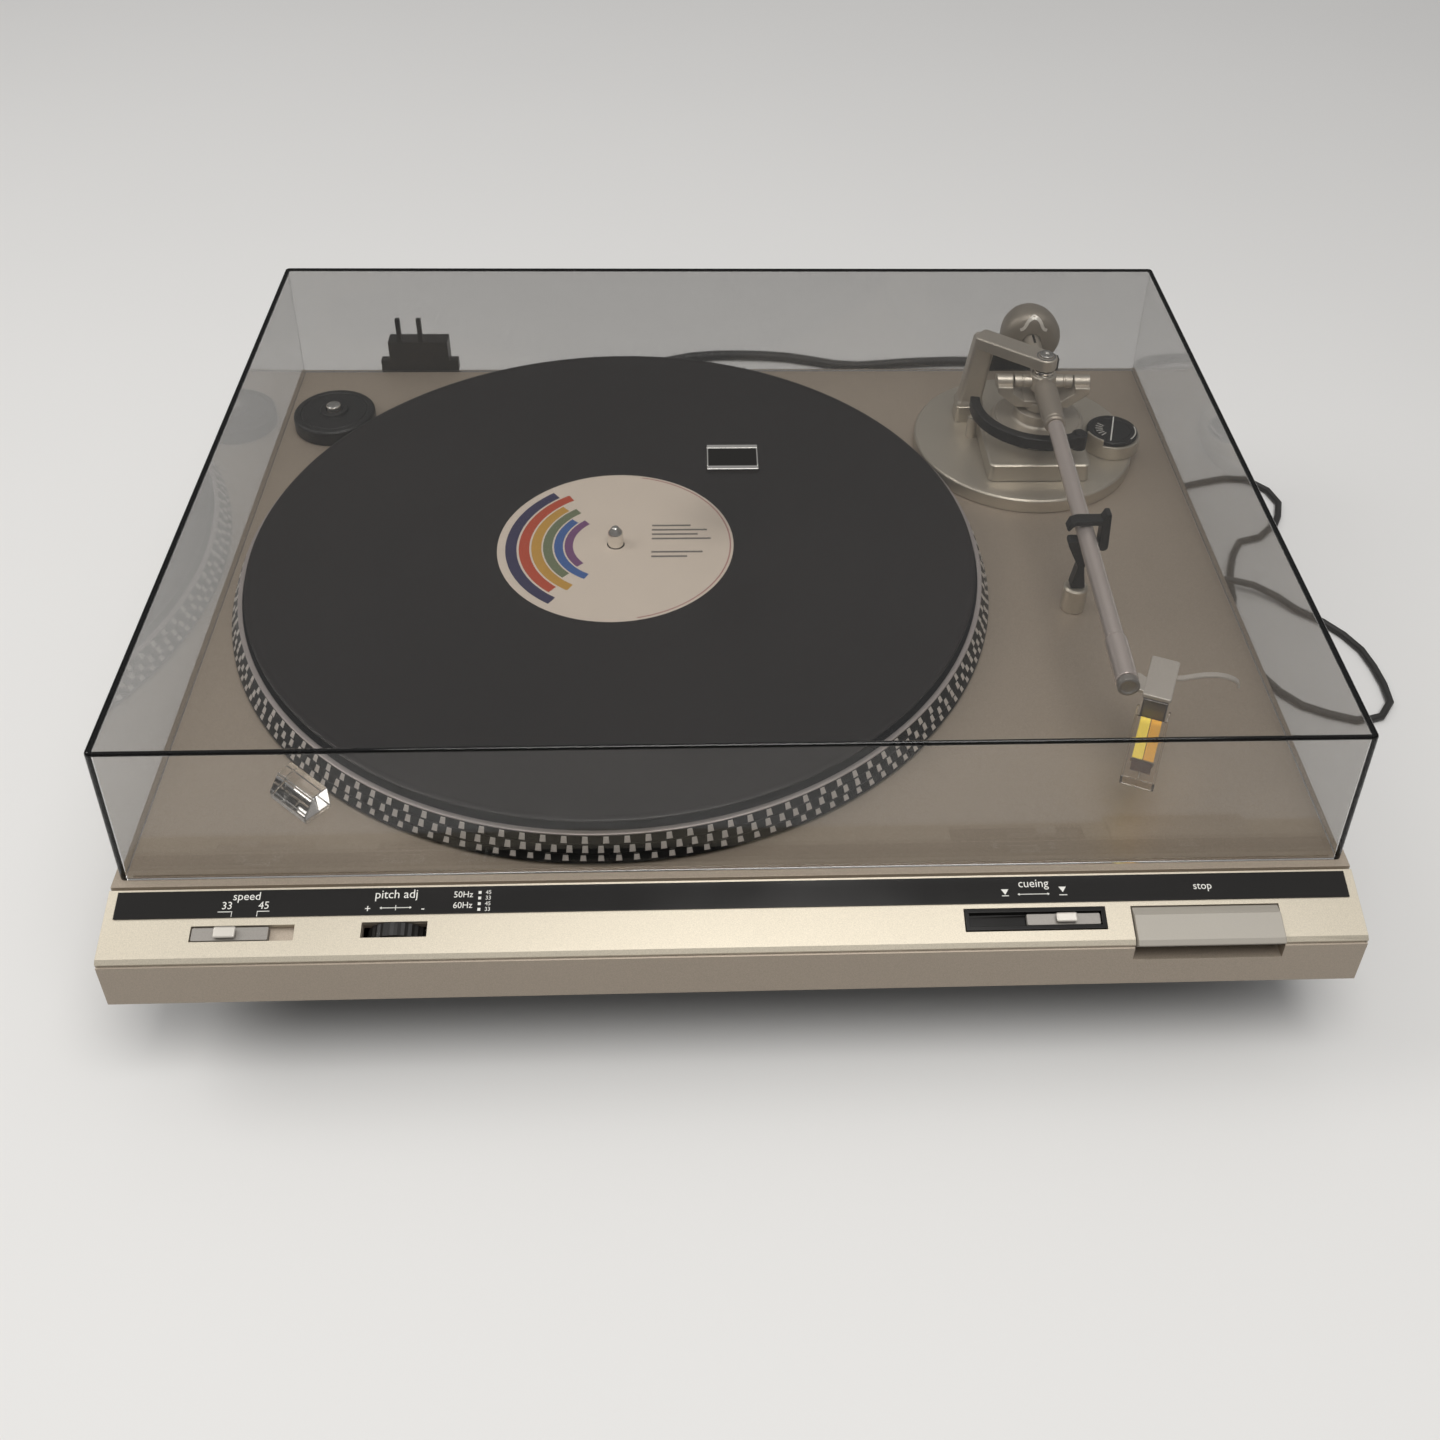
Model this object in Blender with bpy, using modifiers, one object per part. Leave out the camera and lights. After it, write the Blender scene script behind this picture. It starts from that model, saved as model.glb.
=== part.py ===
"""Automatic record turntable with a hinged clear dust cover, a straight tonearm and front panel controls.

Metres, +Z up, +X to the viewer's right, +Y to the back. The origin is under the middle of the case, on the
surface that the feet stand on. The arm lies on its rest and the cover is shut.
"""

import math

import bmesh
import bpy
from mathutils import Matrix, Vector

for old in list(bpy.data.objects):
    bpy.data.objects.remove(old, do_unlink=True)

# Clearances
GAP = 0.0003            # between pieces that touch
RUN_GAP = 0.0004        # around pieces that turn or slide
MERGE = 0.00001         # welding distance
CUT_OVER = 0.002        # how far a cutter runs past a face

# Case
DECK_Z = 0.0702         # top of the deck
CASE_H = 0.0302         # height of the case, without the tray below it
WALL = 0.003
LEDGE_DROP = 0.0008     # ledge around the deck, below the deck
PANEL_ANGLE = math.radians(17.46)
PANEL_EDGE = 0.0057     # panel in front of its lowest opening
PANEL_T = 0.002
PANEL_LIP = 0.0016      # how far the panel's front edge is bevelled
PANEL_GROOVE = 0.0008   # groove between ledge and panel
DECK_MARGIN = 0.0065    # deck edge to case side

# Dust cover
COVER_ROOM = 0.0023          # over the highest point of the arm
COVER_T = 0.0020
COVER_SIDE_INSET = 0.0023
COVER_FRONT_INSET = 0.0034   # ledge in front of the cover
COVER_BACK_INSET = 0.0017
COVER_DRAFT = 0.0010         # how far each side leans in
COVER_EDGE_R = 0.0012
LEFT_CLEAR = 0.0039          # platter to cover, at the left
FRONT_CLEAR = 0.0014
BACK_CLEAR = 0.0035
RIGHT_CLEAR = 0.0182         # arm base to cover, at the right
BADGE_W = 0.0212
BADGE_D = 0.0172
BADGE_T = 0.0008
BADGE_SUNK = 0.0005
BADGE_BACK = 0.0021          # badge centre behind the spindle

# Cover hinges
HINGE_INSET = 0.0615         # hinge middle to case side
HINGE_AXIS_BACK = 0.0105     # axis behind the case's back wall
HINGE_AXIS_DROP = 0.004      # axis below the deck
HOLDER_W = 0.0295
HOLDER_D = 0.0085
HOLDER_H = 0.0165
HOLDER_LUG_W = 0.0045
HOLDER_LUG_H = 0.006
PRONG_W = 0.0022
PRONG_D = 0.0020
PRONG_TOP = 0.0290           # above the deck
PRONG_SPACING = 0.0104
PRONG_SHIFT = -0.0036
KNUCKLE_R = 0.0034
KNUCKLE_W = 0.012
HINGE_PIN_R = 0.0015
TONGUE_AHEAD = 0.002
HINGE_BASE_W = 0.030
HINGE_BASE_TOP_DROP = 0.0105  # top of the base block below the deck
HINGE_BASE_H = 0.0145
HINGE_BASE_D = 0.0211
CHEEK_W = 0.004

# Underside
TRAY_INSET_X = 0.020
TRAY_INSET_Y = 0.020
TRAY_H = 0.0135
TRAY_T = 0.002
FLANGE_T = 0.0015
FOOT_R = 0.0225
FOOT_TIP_R = 0.0195
FOOT_INSET = 0.055
FOOT_FRONT_INSET = 0.0535
FOOT_BACK_INSET = 0.0495
FOOT_BEVEL = 0.0015

# Platter, mat and record
SPINDLE_Y = 0.0022
SPINDLE_R = 0.0033
SPINDLE_TOP = 0.0250         # above the deck
SPINDLE_TIP_R = 0.0012
SPINDLE_TIP_H = 0.003
PLATTER_RIM_BOTTOM = 0.0008
PLATTER_LIP_OUT = 0.0029     # lip outside the record's edge
PLATTER_FLARE = 0.0040       # rim's foot outside its lip
PLATTER_LIP_Z = 0.0118
PLATTER_LIP_W = 0.0019
PLATTER_SEAT_DROP = 0.0009   # where the mat lies, below the lip
PLATTER_PLATE_T = 0.0028
PLATTER_SKIRT_T = 0.0035
PLATTER_HUB_R = 0.014
PLATTER_HUB_BOTTOM = 0.0020
RIM_TOP_SHARES = (0.08, 0.375, 0.70)     # rows of the rim, from lip to bottom edge
RIM_LOW_SHARES = (0.31, 0.62, 0.885)
RIM_STEP = 0.0003
MAT_INSET = 0.0032           # mat inside the record's edge
MAT_T = 0.0029
MAT_RING_R = 0.0530
MAT_RING_DROP = 0.0008
RECORD_R = 0.1512
RECORD_T = 0.0015
RECORD_BEAD_W = 0.0030
RECORD_BEAD_H = 0.0002
LABEL_R = 0.0500
TURN_STEPS = 56

# Motor
MOTOR_HOLE_R = 0.058
MOTOR_FRAME_LAP = 0.006
MOTOR_FRAME_T = 0.0015
ROTOR_R = 0.050
ROTOR_IN_R = 0.024
ROTOR_H = 0.006
COIL_RING_R = 0.036
COIL_R = 0.009
ROTOR_CLEAR = 0.0007
COIL_COUNT = 6
BEARING_R = 0.009
BEARING_FLOOR = 0.004
BEARING_FLANGE_W = 0.008
SPINDLE_TAIL = 0.0225        # spindle below the deck

# Inside the case
CAM_DX = 0.1107              # from the spindle
CAM_DY = -0.0322
CAM_R = 0.034
CAM_T = 0.004
CAM_HUB_R = 0.006
CAM_TEETH = 18
CAM_TOOTH = 0.002
CAM_POST_R = 0.0045
CAM_UNDER_DECK = 0.0120
TRANS_INSET_X = 0.065
TRANS_INSET_Y = 0.0725
TRANS_CORE = (0.050, 0.036, 0.026)
TRANS_COIL = (0.034, 0.048, 0.018)
BOARD_INSET_X = 0.087
BOARD_INSET_Y = 0.1125
BOARD_SIZE = (0.120, 0.080, 0.0016)
BOARD_STAND = 0.006
BOARD_STAND_R = 0.003
BOARD_STAND_INSET = 0.008
CHIP = (0.020, 0.010, 0.005)
CAPACITOR_R = 0.006
CAPACITOR_H = 0.014
CHIP_SHARES = (-0.28, 0.02, 0.30)

# Tonearm
PIVOT_X_FROM_BASE = 0.0047   # pivot from the middle of the arm's base
PIVOT_Y_FROM_BASE = -0.0040
ARM_REST_ANGLE = math.radians(1.68)
ARM_AXIS_H = 0.0408          # arm axis above the deck
BASE_AZIMUTH = math.radians(25.726)
BASE_CLEAR = 0.0010          # base to platter
BASE_R = 0.0515
BASE_EDGE = 0.0008
BASE_H = 0.0070
RISER_W_SHARE = 0.9126       # shares of the base's radius
RISER_FRONT_SHARE = 0.635    # from the pivot
RISER_D_SHARE = 0.9029
RISER_H = 0.0090
RISER_CX = -0.0034           # riser middle from the pivot, sideways
RISER_EDGE_R = 0.0018
PEDESTAL_SHARE = 0.4175
PEDESTAL_RING_H = 0.0055
PEDESTAL_NECK_R = 0.0115
PEDESTAL_DROP = 0.0133       # top of the pedestal below the arm's axis
YOKE_TOP_W = 0.0425
YOKE_LOW_W = 0.0240
YOKE_DROP = 0.0108
YOKE_T = 0.0035
YOKE_D = 0.0125
YOKE_NECK_R = 0.0080
GIMBAL_R = 0.0031
GIMBAL_W = 0.0430
GIMBAL_SLOT_X = 0.0137       # from the middle to the dark slots
GIMBAL_SLOT_W = 0.0008
BLOCK_R = 0.0060
BLOCK_UP = 0.0044            # heights over and under the arm's axis
BLOCK_DOWN = 0.0036
PILLAR_R = 0.0018
PILLAR_HOLE_R = 0.0034
CUP_R = 0.0046
CUP_T = 0.0012
CUP_UP = 0.0053
COLLAR_R = 0.0050
COLLAR_END = 0.0350          # from the pivot, along the arm
TUBE_R = 0.0036
SLEEVE_R = 0.0043
SLEEVE_L = 0.0220
TUBE_PAST_HEAD = 0.0035      # tube's end past the middle of the head
STUB_R = 0.0040
STUB_SHORT = 0.0030          # stub's end before the bottom of the bore
WEIGHT_FRONT = 0.0345
WEIGHT_LENGTH = 0.0190
WEIGHT_R = 0.0143
WEIGHT_NOSE = 0.0068         # length of its rounded end
WEIGHT_WEB = 0.0065
WEIGHT_NOSE_SHARES = (0.0, 0.3, 0.55, 0.78)
SCREW_R = 0.0032
SCREW_TIP_R = 0.0016
BRACKET_BACK_X = -0.0281     # leg middle from the pivot
BRACKET_CLEAR = 0.0007       # leg behind the riser
BRACKET_LEG_W = 0.0110
BRACKET_LEG_D = 0.0080
BRACKET_BAR_T = 0.0050
BRACKET_UP = 0.0134
BRACKET_BAR_W = 0.0105
SCREW_HEAD_H = 0.0013

# Head of the arm, measured from the middle of its plate; heights from the arm's axis
HEAD_SHORT = 0.0157          # head nearer the pivot than the spindle is
HEAD_SIDE = 0.0135
HEAD_ANGLE = math.radians(21.2)
PLATE_L = 0.0220
PLATE_W = 0.0104
PLATE_TOP = -0.0012
PLATE_T = 0.0018
NECK_T = 0.0016
NECK_CAP_R = 0.0041
NECK_CAP_L = 0.0030
NECK_SIDE = 0.0030
NECK_BACK = 0.0090
CART_FRONT = 0.0112
CART_BACK = -0.0090
CART_W = 0.0092
CART_LOW = -0.0125
CART_EDGE_R = 0.0006
STYLUS_W = 0.0076
STYLUS_BACK = -0.0020
STYLUS_TOP = -0.0128
STYLUS_STEP = 0.0115         # where its top starts to slope
STYLUS_FRONT = 0.0265
STYLUS_FRONT_TOP = -0.0165
STYLUS_NOSE_LOW = -0.0180
STYLUS_KEEL = 0.0080         # where its underside turns
STYLUS_KEEL_LOW = -0.0173
STYLUS_BACK_LOW = -0.0163
CANT_R = 0.00045
CANT_ROOT = 0.0255
CANT_TIP = 0.0335
TIP_Z = -0.0192
GUARD_T = 0.0007
GUARD_W = 0.0120
GUARD_PIVOT = 0.0108
GUARD_PIVOT_Z = -0.0098
GUARD_EAR_R = 0.0023
GUARD_BACK = 0.0132
GUARD_BACK_TOP = -0.0096
GUARD_BACK_LOW = -0.0146
GUARD_FRONT = 0.0368
GUARD_FRONT_TOP = -0.0164
GUARD_LOW = -0.0201
LIFT_R = 0.0009
LIFT_ROOT = -0.0027
LIFT_TIP_ALONG = -0.0077
LIFT_TIP_SIDE = 0.0262
LIFT_RISE = 0.0022
LIFT_DROP = 0.0026

# Arm lifter
GUIDE_CLEAR = 0.0004         # guide beside the riser
LIFTER_W = 0.0046
LIFTER_T = 0.0060
LIFTER_DROP = 0.0112         # below the arm's axis
LIFTER_START = math.radians(171)
LIFTER_SWEEP = math.radians(126)
LIFTER_STEPS = 16
LIFTER_KNOB_R = 0.0036
LIFTER_KNOB_H = 0.0085
LIFTER_ROD_R = 0.0012
KNOB_OVER = 0.0010           # knob top over the bar
GUIDE_FLOOR = 0.0012
LIFTER_GUIDE_R = 0.0023
LIFTER_GUIDE_UP = 0.0015     # above the riser

# Anti-skating dial
DIAL_CLEAR = 0.0023          # dial's cup beside the riser
DIAL_Y = -0.0033             # from the pivot
DIAL_R = 0.0119
DIAL_UP = 0.0090             # above the base
DIAL_T = 0.0021
HOUSING_R = 0.0132
HOUSING_WALL = 0.0009
HOUSING_RIM_UP = 0.0012
HOUSING_START = math.radians(195)
HOUSING_SWEEP = math.radians(45)
DIAL_PIN_R = 0.002

# Arm rest
REST_SHARE = 0.5697          # of the arm, from the pivot
REST_SIDE = 0.0005           # from the arm's line
POST_R = 0.0050
POST_H = 0.0120
REST_D = 0.0050
REST_FOOT_W = 0.0062
REST_WAIST_W = 0.0026
REST_WAIST_SHARE = 0.456
REST_TOP_LEFT = 0.0067
REST_TOP_RIGHT = 0.0050
REST_LIP = 0.0022            # thickness of the cradle's ends
CLIP_PIVOT = 0.0076          # right of the rest's middle
CLIP_PIVOT_DROP = 0.0032     # below the cradle's top
CLIP_ROOT_R = 0.0021
CLIP_TIP = 0.0078            # left of the rest's middle
CLIP_CLEAR = 0.0006          # over the arm
CLIP_BAND = 0.0020
CLIP_TAB_UP = 0.0058

# Strobe prism
PRISM_AZIMUTH = math.radians(229.2)
PRISM_CLEAR = 0.0034         # prism to platter
PRISM_D = 0.0112
PRISM_W = 0.0200
PRISM_H = 0.0100
PRISM_FOOT_H = 0.0035
PRISM_TOP_SHARE = 0.55

# Single-record adapter
ADAPTER_AZIMUTH = math.radians(140.44)
ADAPTER_CLEAR = 0.0025       # adapter to platter
ADAPTER_R = 0.0190
ADAPTER_H = 0.0078
ADAPTER_HUB_R = 0.0065
ADAPTER_HUB_H = 0.0014
ADAPTER_EDGE = 0.0010
PEG_R = 0.0033
PEG_TOP = 0.0110

# Front controls: s is down the panel from its top edge
FASCIA_TOP_S = 0.0013
FASCIA_LOW_S = 0.0108
FASCIA_INSET = 0.0033
FASCIA_T = 0.0006
SPEED_INSET = 0.0296
SPEED_W = 0.0344
SPEED_TOP_S = 0.0135
SPEED_LOW_S = 0.0189
SPEED_SLIDER_L = 0.0258
SPEED_CAP_FROM = 0.0079      # cap from the slider's left end
SPEED_CAP_L = 0.0075
SLIDER_BELOW = 0.0004        # slider top below the panel
CAP_RISE = 0.0022            # cap above the slider
CAP_MARGIN = 0.0007
POCKET_DEPTH = 0.0032
PITCH_AFTER = 0.0223         # pitch opening after the speed one
PITCH_W = 0.0220
PITCH_TOP_S = 0.0132
PITCH_LOW_S = 0.0185
PITCH_R = 0.0102
PITCH_RISE = 0.0009          # wheel above the panel
PITCH_KNURLS = 26
PITCH_KNURL_H = 0.0003
PITCH_AXLE_R = 0.0015
CARRIER_T = 0.0018
CARRIER_W = 0.0100
CUE_BEFORE = 0.0096          # cueing opening before the stop button
CUE_W = 0.0486
CUE_TOP_S = 0.0127
CUE_LOW_S = 0.0203
BEZEL_RIM = 0.0014
BEZEL_RISE = 0.0005
CUE_SLIDER_L = 0.0256
CUE_CAP_FROM = 0.0099
CUE_CAP_L = 0.0074
STOP_INSET = 0.0293
STOP_W = 0.0513
STOP_TOP_S = 0.0129
STOP_RISE = 0.0018           # button above the panel
STOP_PROUD = 0.0012          # button ahead of the case front
STOP_BEVEL_S = 0.0035
STOP_FACE_H = 0.0060
STOP_TRAVEL = 0.0016
STOP_WELL_H = 0.0115
STOP_WALL = 0.0016

# Leads
MAINS_R = 0.00275
AUDIO_R = 0.00175
RELIEF_L = 0.026
RELIEF_FLANGE_R = 0.0065
RELIEF_FLANGE_T = 0.0025
RELIEF_RIB = 0.0008
AUDIO_RELIEF_SHARE = 0.7
LEAD_UP = 0.0100             # where the leads leave the back wall, above the case's bottom
RELIEF_END_SHARE = 0.62      # the relief's outer end against its root
RELIEF_RIBS = 4
RELIEF_ROOT_SHARE = 0.8      # the relief's root against its flange
RIB_SHARE = 0.45
MAINS_X = -0.0684
AUDIO_X = 0.0116
COIL_CLEAR = 0.0006          # between the loops of a coil
COIL_POINTS = 24
MAINS_COIL = (0.0696, 0.2011)
MAINS_COIL_R = 0.038
MAINS_COIL_TURNS = 3
AUDIO_COIL = (0.1836, 0.2021)
AUDIO_COIL_R = 0.023
AUDIO_COIL_TURNS = 2
MAINS_TABLE_Y = 0.250
MAINS_TAIL = 0.025
AUDIO_TABLE_Y = 0.241
AUDIO_TAIL = 0.018
MAINS_STEP_SHARE = 2.6       # points along a lead, in diameters
AUDIO_STEP_SHARE = 3.4
MAINS_ROUTE = (              # x, y and height over lying flat
    (-0.0640, 0.2650, 0), (-0.0394, 0.2796, 0), (-0.0084, 0.2898, 0), (0.0371, 0.2886, 0), (0.0756, 0.2781, 0),
    (0.1076, 0.2811, 0), (0.1380, 0.2831, 0), (0.1566, 0.2825, 0), (0.1722, 0.2755, 0.0018),
    (0.1786, 0.2611, 0.0042),
    (0.1722, 0.2460, 0.0018), (0.1566, 0.2391, 0), (0.1250, 0.2391, 0), (0.0960, 0.2391, 0),
)
AUDIO_ROUTE = (
    (0.0160, 0.2520, 0), (0.0330, 0.2605, 0), (0.0616, 0.2645, 0), (0.1076, 0.2697, 0), (0.1506, 0.2681, 0),
    (0.1786, 0.2591, 0), (0.2016, 0.2471, 0), (0.2366, 0.2021, 0), (0.2416, 0.1651, 0), (0.2501, 0.1560, 0),
    (0.2700, 0.1615, 0), (0.2860, 0.1610, 0), (0.2966, 0.1421, 0), (0.2832, 0.1136, 0), (0.2668, 0.1061, 0),
    (0.2549, 0.0781, 0), (0.2517, 0.0605, 0), (0.2436, 0.0371, 0), (0.2416, 0.0221, 0), (0.2476, 0.0131, 0),
    (0.2580, -0.0084, 0), (0.2724, -0.0186, 0), (0.2850, -0.0231, 0), (0.3016, -0.0129, 0), (0.3016, 0.0221, 0),
    (0.2909, 0.0427, 0), (0.2834, 0.0485, 0), (0.2693, 0.0646, 0.0022), (0.2546, 0.0716, 0.0042),
    (0.2366, 0.0771, 0.0012), (0.2316, 0.1071, 0), (0.2316, 0.1471, 0), (0.2096, 0.1800, 0),
)
PLUG_L = 0.030
PLUG_W = 0.020
PLUG_H = 0.016
PLUG_EDGE = 0.002
BLADE_L = 0.017
BLADE_W = 0.0062
BLADE_T = 0.0015
BLADE_SPACING = 0.0127
PIN_R = 0.0016
PIN_L = 0.014
PIN_SPACING = 0.012
AUDIO_PLUG_L = 0.026
AUDIO_PLUG_W = 0.024
AUDIO_PLUG_H = 0.012

# Levels and places that follow from the sizes
PLATTER_LIP_R = RECORD_R + PLATTER_LIP_OUT
PLATTER_RIM_R = PLATTER_LIP_R + PLATTER_FLARE
PLATTER_SEAT_Z = PLATTER_LIP_Z - PLATTER_SEAT_DROP
MAT_R = RECORD_R - MAT_INSET
BASE_OUT = PLATTER_RIM_R + BASE_CLEAR + BASE_R
BASE_DX = BASE_OUT * math.cos(BASE_AZIMUTH)
BASE_DY = BASE_OUT * math.sin(BASE_AZIMUTH)
COVER_WALL_IN = COVER_SIDE_INSET + COVER_T
CASE_W = 2 * COVER_WALL_IN + LEFT_CLEAR + PLATTER_RIM_R + BASE_DX + BASE_R + RIGHT_CLEAR
HALF_W = CASE_W / 2
SPINDLE_X = -HALF_W + COVER_WALL_IN + LEFT_CLEAR + PLATTER_RIM_R
PANEL_LENGTH = CUE_LOW_S + PANEL_EDGE
PANEL_RUN = PANEL_LENGTH * math.cos(PANEL_ANGLE)
PANEL_DROP = PANEL_LENGTH * math.sin(PANEL_ANGLE)
CASE_FRONT_Y = SPINDLE_Y - PLATTER_RIM_R - FRONT_CLEAR - COVER_T - COVER_FRONT_INSET - PANEL_RUN
CASE_BACK_Y = SPINDLE_Y + PLATTER_RIM_R + BACK_CLEAR + COVER_T + COVER_BACK_INSET
CASE_BOTTOM_Z = DECK_Z - CASE_H
LEDGE_Z = DECK_Z - LEDGE_DROP
RIM_Y = CASE_FRONT_Y + PANEL_RUN
COVER_FRONT_Y = RIM_Y + COVER_FRONT_INSET
COVER_BACK_Y = CASE_BACK_Y - COVER_BACK_INSET
COVER_HALF_W = HALF_W - COVER_SIDE_INSET
COVER_LOW_Z = LEDGE_Z + GAP
DECK_UNDER_Z = LEDGE_Z - WALL
PIVOT = Vector((SPINDLE_X + BASE_DX + PIVOT_X_FROM_BASE, SPINDLE_Y + BASE_DY + PIVOT_Y_FROM_BASE,
                DECK_Z + ARM_AXIS_H))
TRAY_LOW_Z = CASE_BOTTOM_Z - TRAY_H
TRAY_FLOOR_Z = TRAY_LOW_Z + TRAY_T
HINGE_X = HALF_W - HINGE_INSET
FOOT_X = HALF_W - FOOT_INSET
FOOT_FRONT_Y = CASE_FRONT_Y + FOOT_FRONT_INSET
FOOT_BACK_Y = CASE_BACK_Y - FOOT_BACK_INSET
CAM_X = SPINDLE_X + CAM_DX
CAM_Y = SPINDLE_Y + CAM_DY
TRANS_X = -HALF_W + TRANS_INSET_X
TRANS_Y = CASE_BACK_Y - TRANS_INSET_Y
BOARD_X = HALF_W - BOARD_INSET_X
BOARD_Y = CASE_FRONT_Y + BOARD_INSET_Y
LEAD_H = CASE_BOTTOM_Z + LEAD_UP

# Heights of the arm's pieces, above the deck
RISER_TOP = BASE_H + RISER_H
PEDESTAL_RING_TOP = RISER_TOP + PEDESTAL_RING_H
PEDESTAL_TOP = ARM_AXIS_H - PEDESTAL_DROP
YOKE_LOW = ARM_AXIS_H - YOKE_DROP
YOKE_MID = YOKE_LOW + YOKE_T
CUP_LOW = ARM_AXIS_H + CUP_UP
BRACKET_BAR_TOP = ARM_AXIS_H + BRACKET_UP
SCREW_HEAD_TOP = BRACKET_BAR_TOP + SCREW_HEAD_H
COVER_TOP_Z = DECK_Z + SCREW_HEAD_TOP + COVER_ROOM + COVER_T
COVER_H = COVER_TOP_Z - COVER_LOW_Z
LIFTER_TOP = ARM_AXIS_H - LIFTER_DROP
LIFTER_LOW = LIFTER_TOP - LIFTER_T
LIFTER_GUIDE_TOP = RISER_TOP + LIFTER_GUIDE_UP
DIAL_TOP = BASE_H + DIAL_UP
HOUSING_RIM_TOP = DIAL_TOP + HOUSING_RIM_UP
REST_TOP_Z = ARM_AXIS_H - TUBE_R - GAP
REST_WAIST_Z = POST_H + (REST_TOP_Z - POST_H) * REST_WAIST_SHARE
CLIP_PIVOT_Z = REST_TOP_Z - CLIP_PIVOT_DROP
CLIP_INNER_TOP = ARM_AXIS_H + TUBE_R + CLIP_CLEAR
CLIP_TAB_TOP = CLIP_INNER_TOP + CLIP_TAB_UP

# Widths and lengths of the arm's pieces
RISER_W = BASE_R * RISER_W_SHARE
RISER_D = BASE_R * RISER_D_SHARE
RISER_FRONT = -BASE_R * RISER_FRONT_SHARE
PEDESTAL_R = BASE_R * PEDESTAL_SHARE
HEAD_ALONG = math.hypot(BASE_DX + PIVOT_X_FROM_BASE, BASE_DY + PIVOT_Y_FROM_BASE) - HEAD_SHORT
REST_ALONG = HEAD_ALONG * REST_SHARE
TUBE_END = HEAD_ALONG + TUBE_PAST_HEAD
SLEEVE_START = TUBE_END - SLEEVE_L
WEIGHT_BORE_DEPTH = WEIGHT_LENGTH - WEIGHT_WEB
STUB_END = WEIGHT_FRONT + WEIGHT_BORE_DEPTH - STUB_SHORT

# Control openings, across the panel
SPEED_LEFT = -HALF_W + SPEED_INSET
SPEED_RIGHT = SPEED_LEFT + SPEED_W
PITCH_LEFT = SPEED_RIGHT + PITCH_AFTER
PITCH_RIGHT = PITCH_LEFT + PITCH_W
STOP_RIGHT = HALF_W - STOP_INSET
STOP_LEFT = STOP_RIGHT - STOP_W
CUE_RIGHT = STOP_LEFT - CUE_BEFORE
CUE_LEFT = CUE_RIGHT - CUE_W
FASCIA_HALF_W = HALF_W - FASCIA_INSET

parts = bpy.data.collections.new("automatic_turntable")
cutters = bpy.data.collections.new("cutters")
bpy.context.scene.collection.children.link(parts)
bpy.context.scene.collection.children.link(cutters)


def material(name, color, rough, metal=0.0, alpha=1.0):
    """A Principled material."""
    m = bpy.data.materials.new(name)
    m.use_nodes = True
    shader = m.node_tree.nodes["Principled BSDF"]
    shader.inputs["Base Color"].default_value = (*color, 1.0)
    shader.inputs["Roughness"].default_value = rough
    shader.inputs["Metallic"].default_value = metal
    shader.inputs["Alpha"].default_value = alpha
    return m


CHAMPAGNE = material("champagne_paint", (0.50, 0.45, 0.37), 0.42, 0.35)
PANEL_METAL = material("panel_metal", (0.62, 0.56, 0.46), 0.40, 0.45)
BLACK_GLOSS = material("black_gloss", (0.015, 0.013, 0.012), 0.12)
BLACK_PLASTIC = material("black_plastic", (0.025, 0.024, 0.023), 0.45)
DARK_TRAY = material("dark_tray", (0.05, 0.05, 0.05), 0.6)
RUBBER = material("black_rubber", (0.02, 0.02, 0.02), 0.8)
SMOKED = material("smoked_clear", (0.36, 0.35, 0.34), 0.06, 0.0, 0.35)
CLEAR = material("clear_plastic", (0.75, 0.75, 0.74), 0.12, 0.0, 0.4)
ALLOY = material("satin_alloy", (0.60, 0.57, 0.52), 0.35, 0.9)
BRIGHT = material("bright_metal", (0.80, 0.78, 0.74), 0.18, 1.0)
VINYL = material("vinyl", (0.018, 0.017, 0.017), 0.22)
KNOB_GREY = material("knob_grey", (0.42, 0.40, 0.37), 0.45, 0.2)
YELLOW = material("yellow_stylus", (0.95, 0.62, 0.06), 0.3)
CART_GREY = material("cartridge_grey", (0.16, 0.15, 0.14), 0.4)
GREEN_BOARD = material("board", (0.10, 0.22, 0.10), 0.6)
STEEL = material("core_steel", (0.30, 0.29, 0.28), 0.5, 0.7)
CORD_BLACK = material("cord_black", (0.03, 0.03, 0.03), 0.55)
PLATTER_METAL = material("platter_rim", (0.10, 0.10, 0.10), 0.35, 0.6)


def empty(name, location, parent=None):
    """An axis that pieces are parented to."""
    e = bpy.data.objects.new(name, None)
    e.location = location
    e.empty_display_size = GAP
    e.parent = parent
    parts.objects.link(e)
    return e


def place(obj, location=(0, 0, 0), rotation=(0, 0, 0), parent=None):
    """Places a piece under its parent."""
    obj.location = location
    obj.rotation_euler = rotation
    obj.parent = parent
    return obj


def add(name, mesh, mat, cutter=False):
    """A named object from a mesh."""
    obj = bpy.data.objects.new(name, mesh)
    if mat:
        mesh.materials.append(mat)
    if cutter:
        obj.hide_render = True
        obj.display_type = "WIRE"
        cutters.objects.link(obj)
    else:
        parts.objects.link(obj)
    return obj


def box_mesh(low, high):
    """A box between two corners."""
    mesh = bpy.data.meshes.new("box")
    bm = bmesh.new()
    size = [h - l for l, h in zip(low, high)]
    middle = [(h + l) / 2 for l, h in zip(low, high)]
    bmesh.ops.create_cube(bm, size=1.0, matrix=Matrix.Translation(middle) @ Matrix.Diagonal((*size, 1.0)))
    bm.to_mesh(mesh)
    bm.free()
    return mesh


def box(name, low, high, mat=None, bevel=0.0, cutter=False):
    """A box between two corners, with bevelled edges."""
    obj = add(name, box_mesh(low, high), mat, cutter=cutter)
    if bevel:
        soften(obj, bevel)
    return obj


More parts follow.
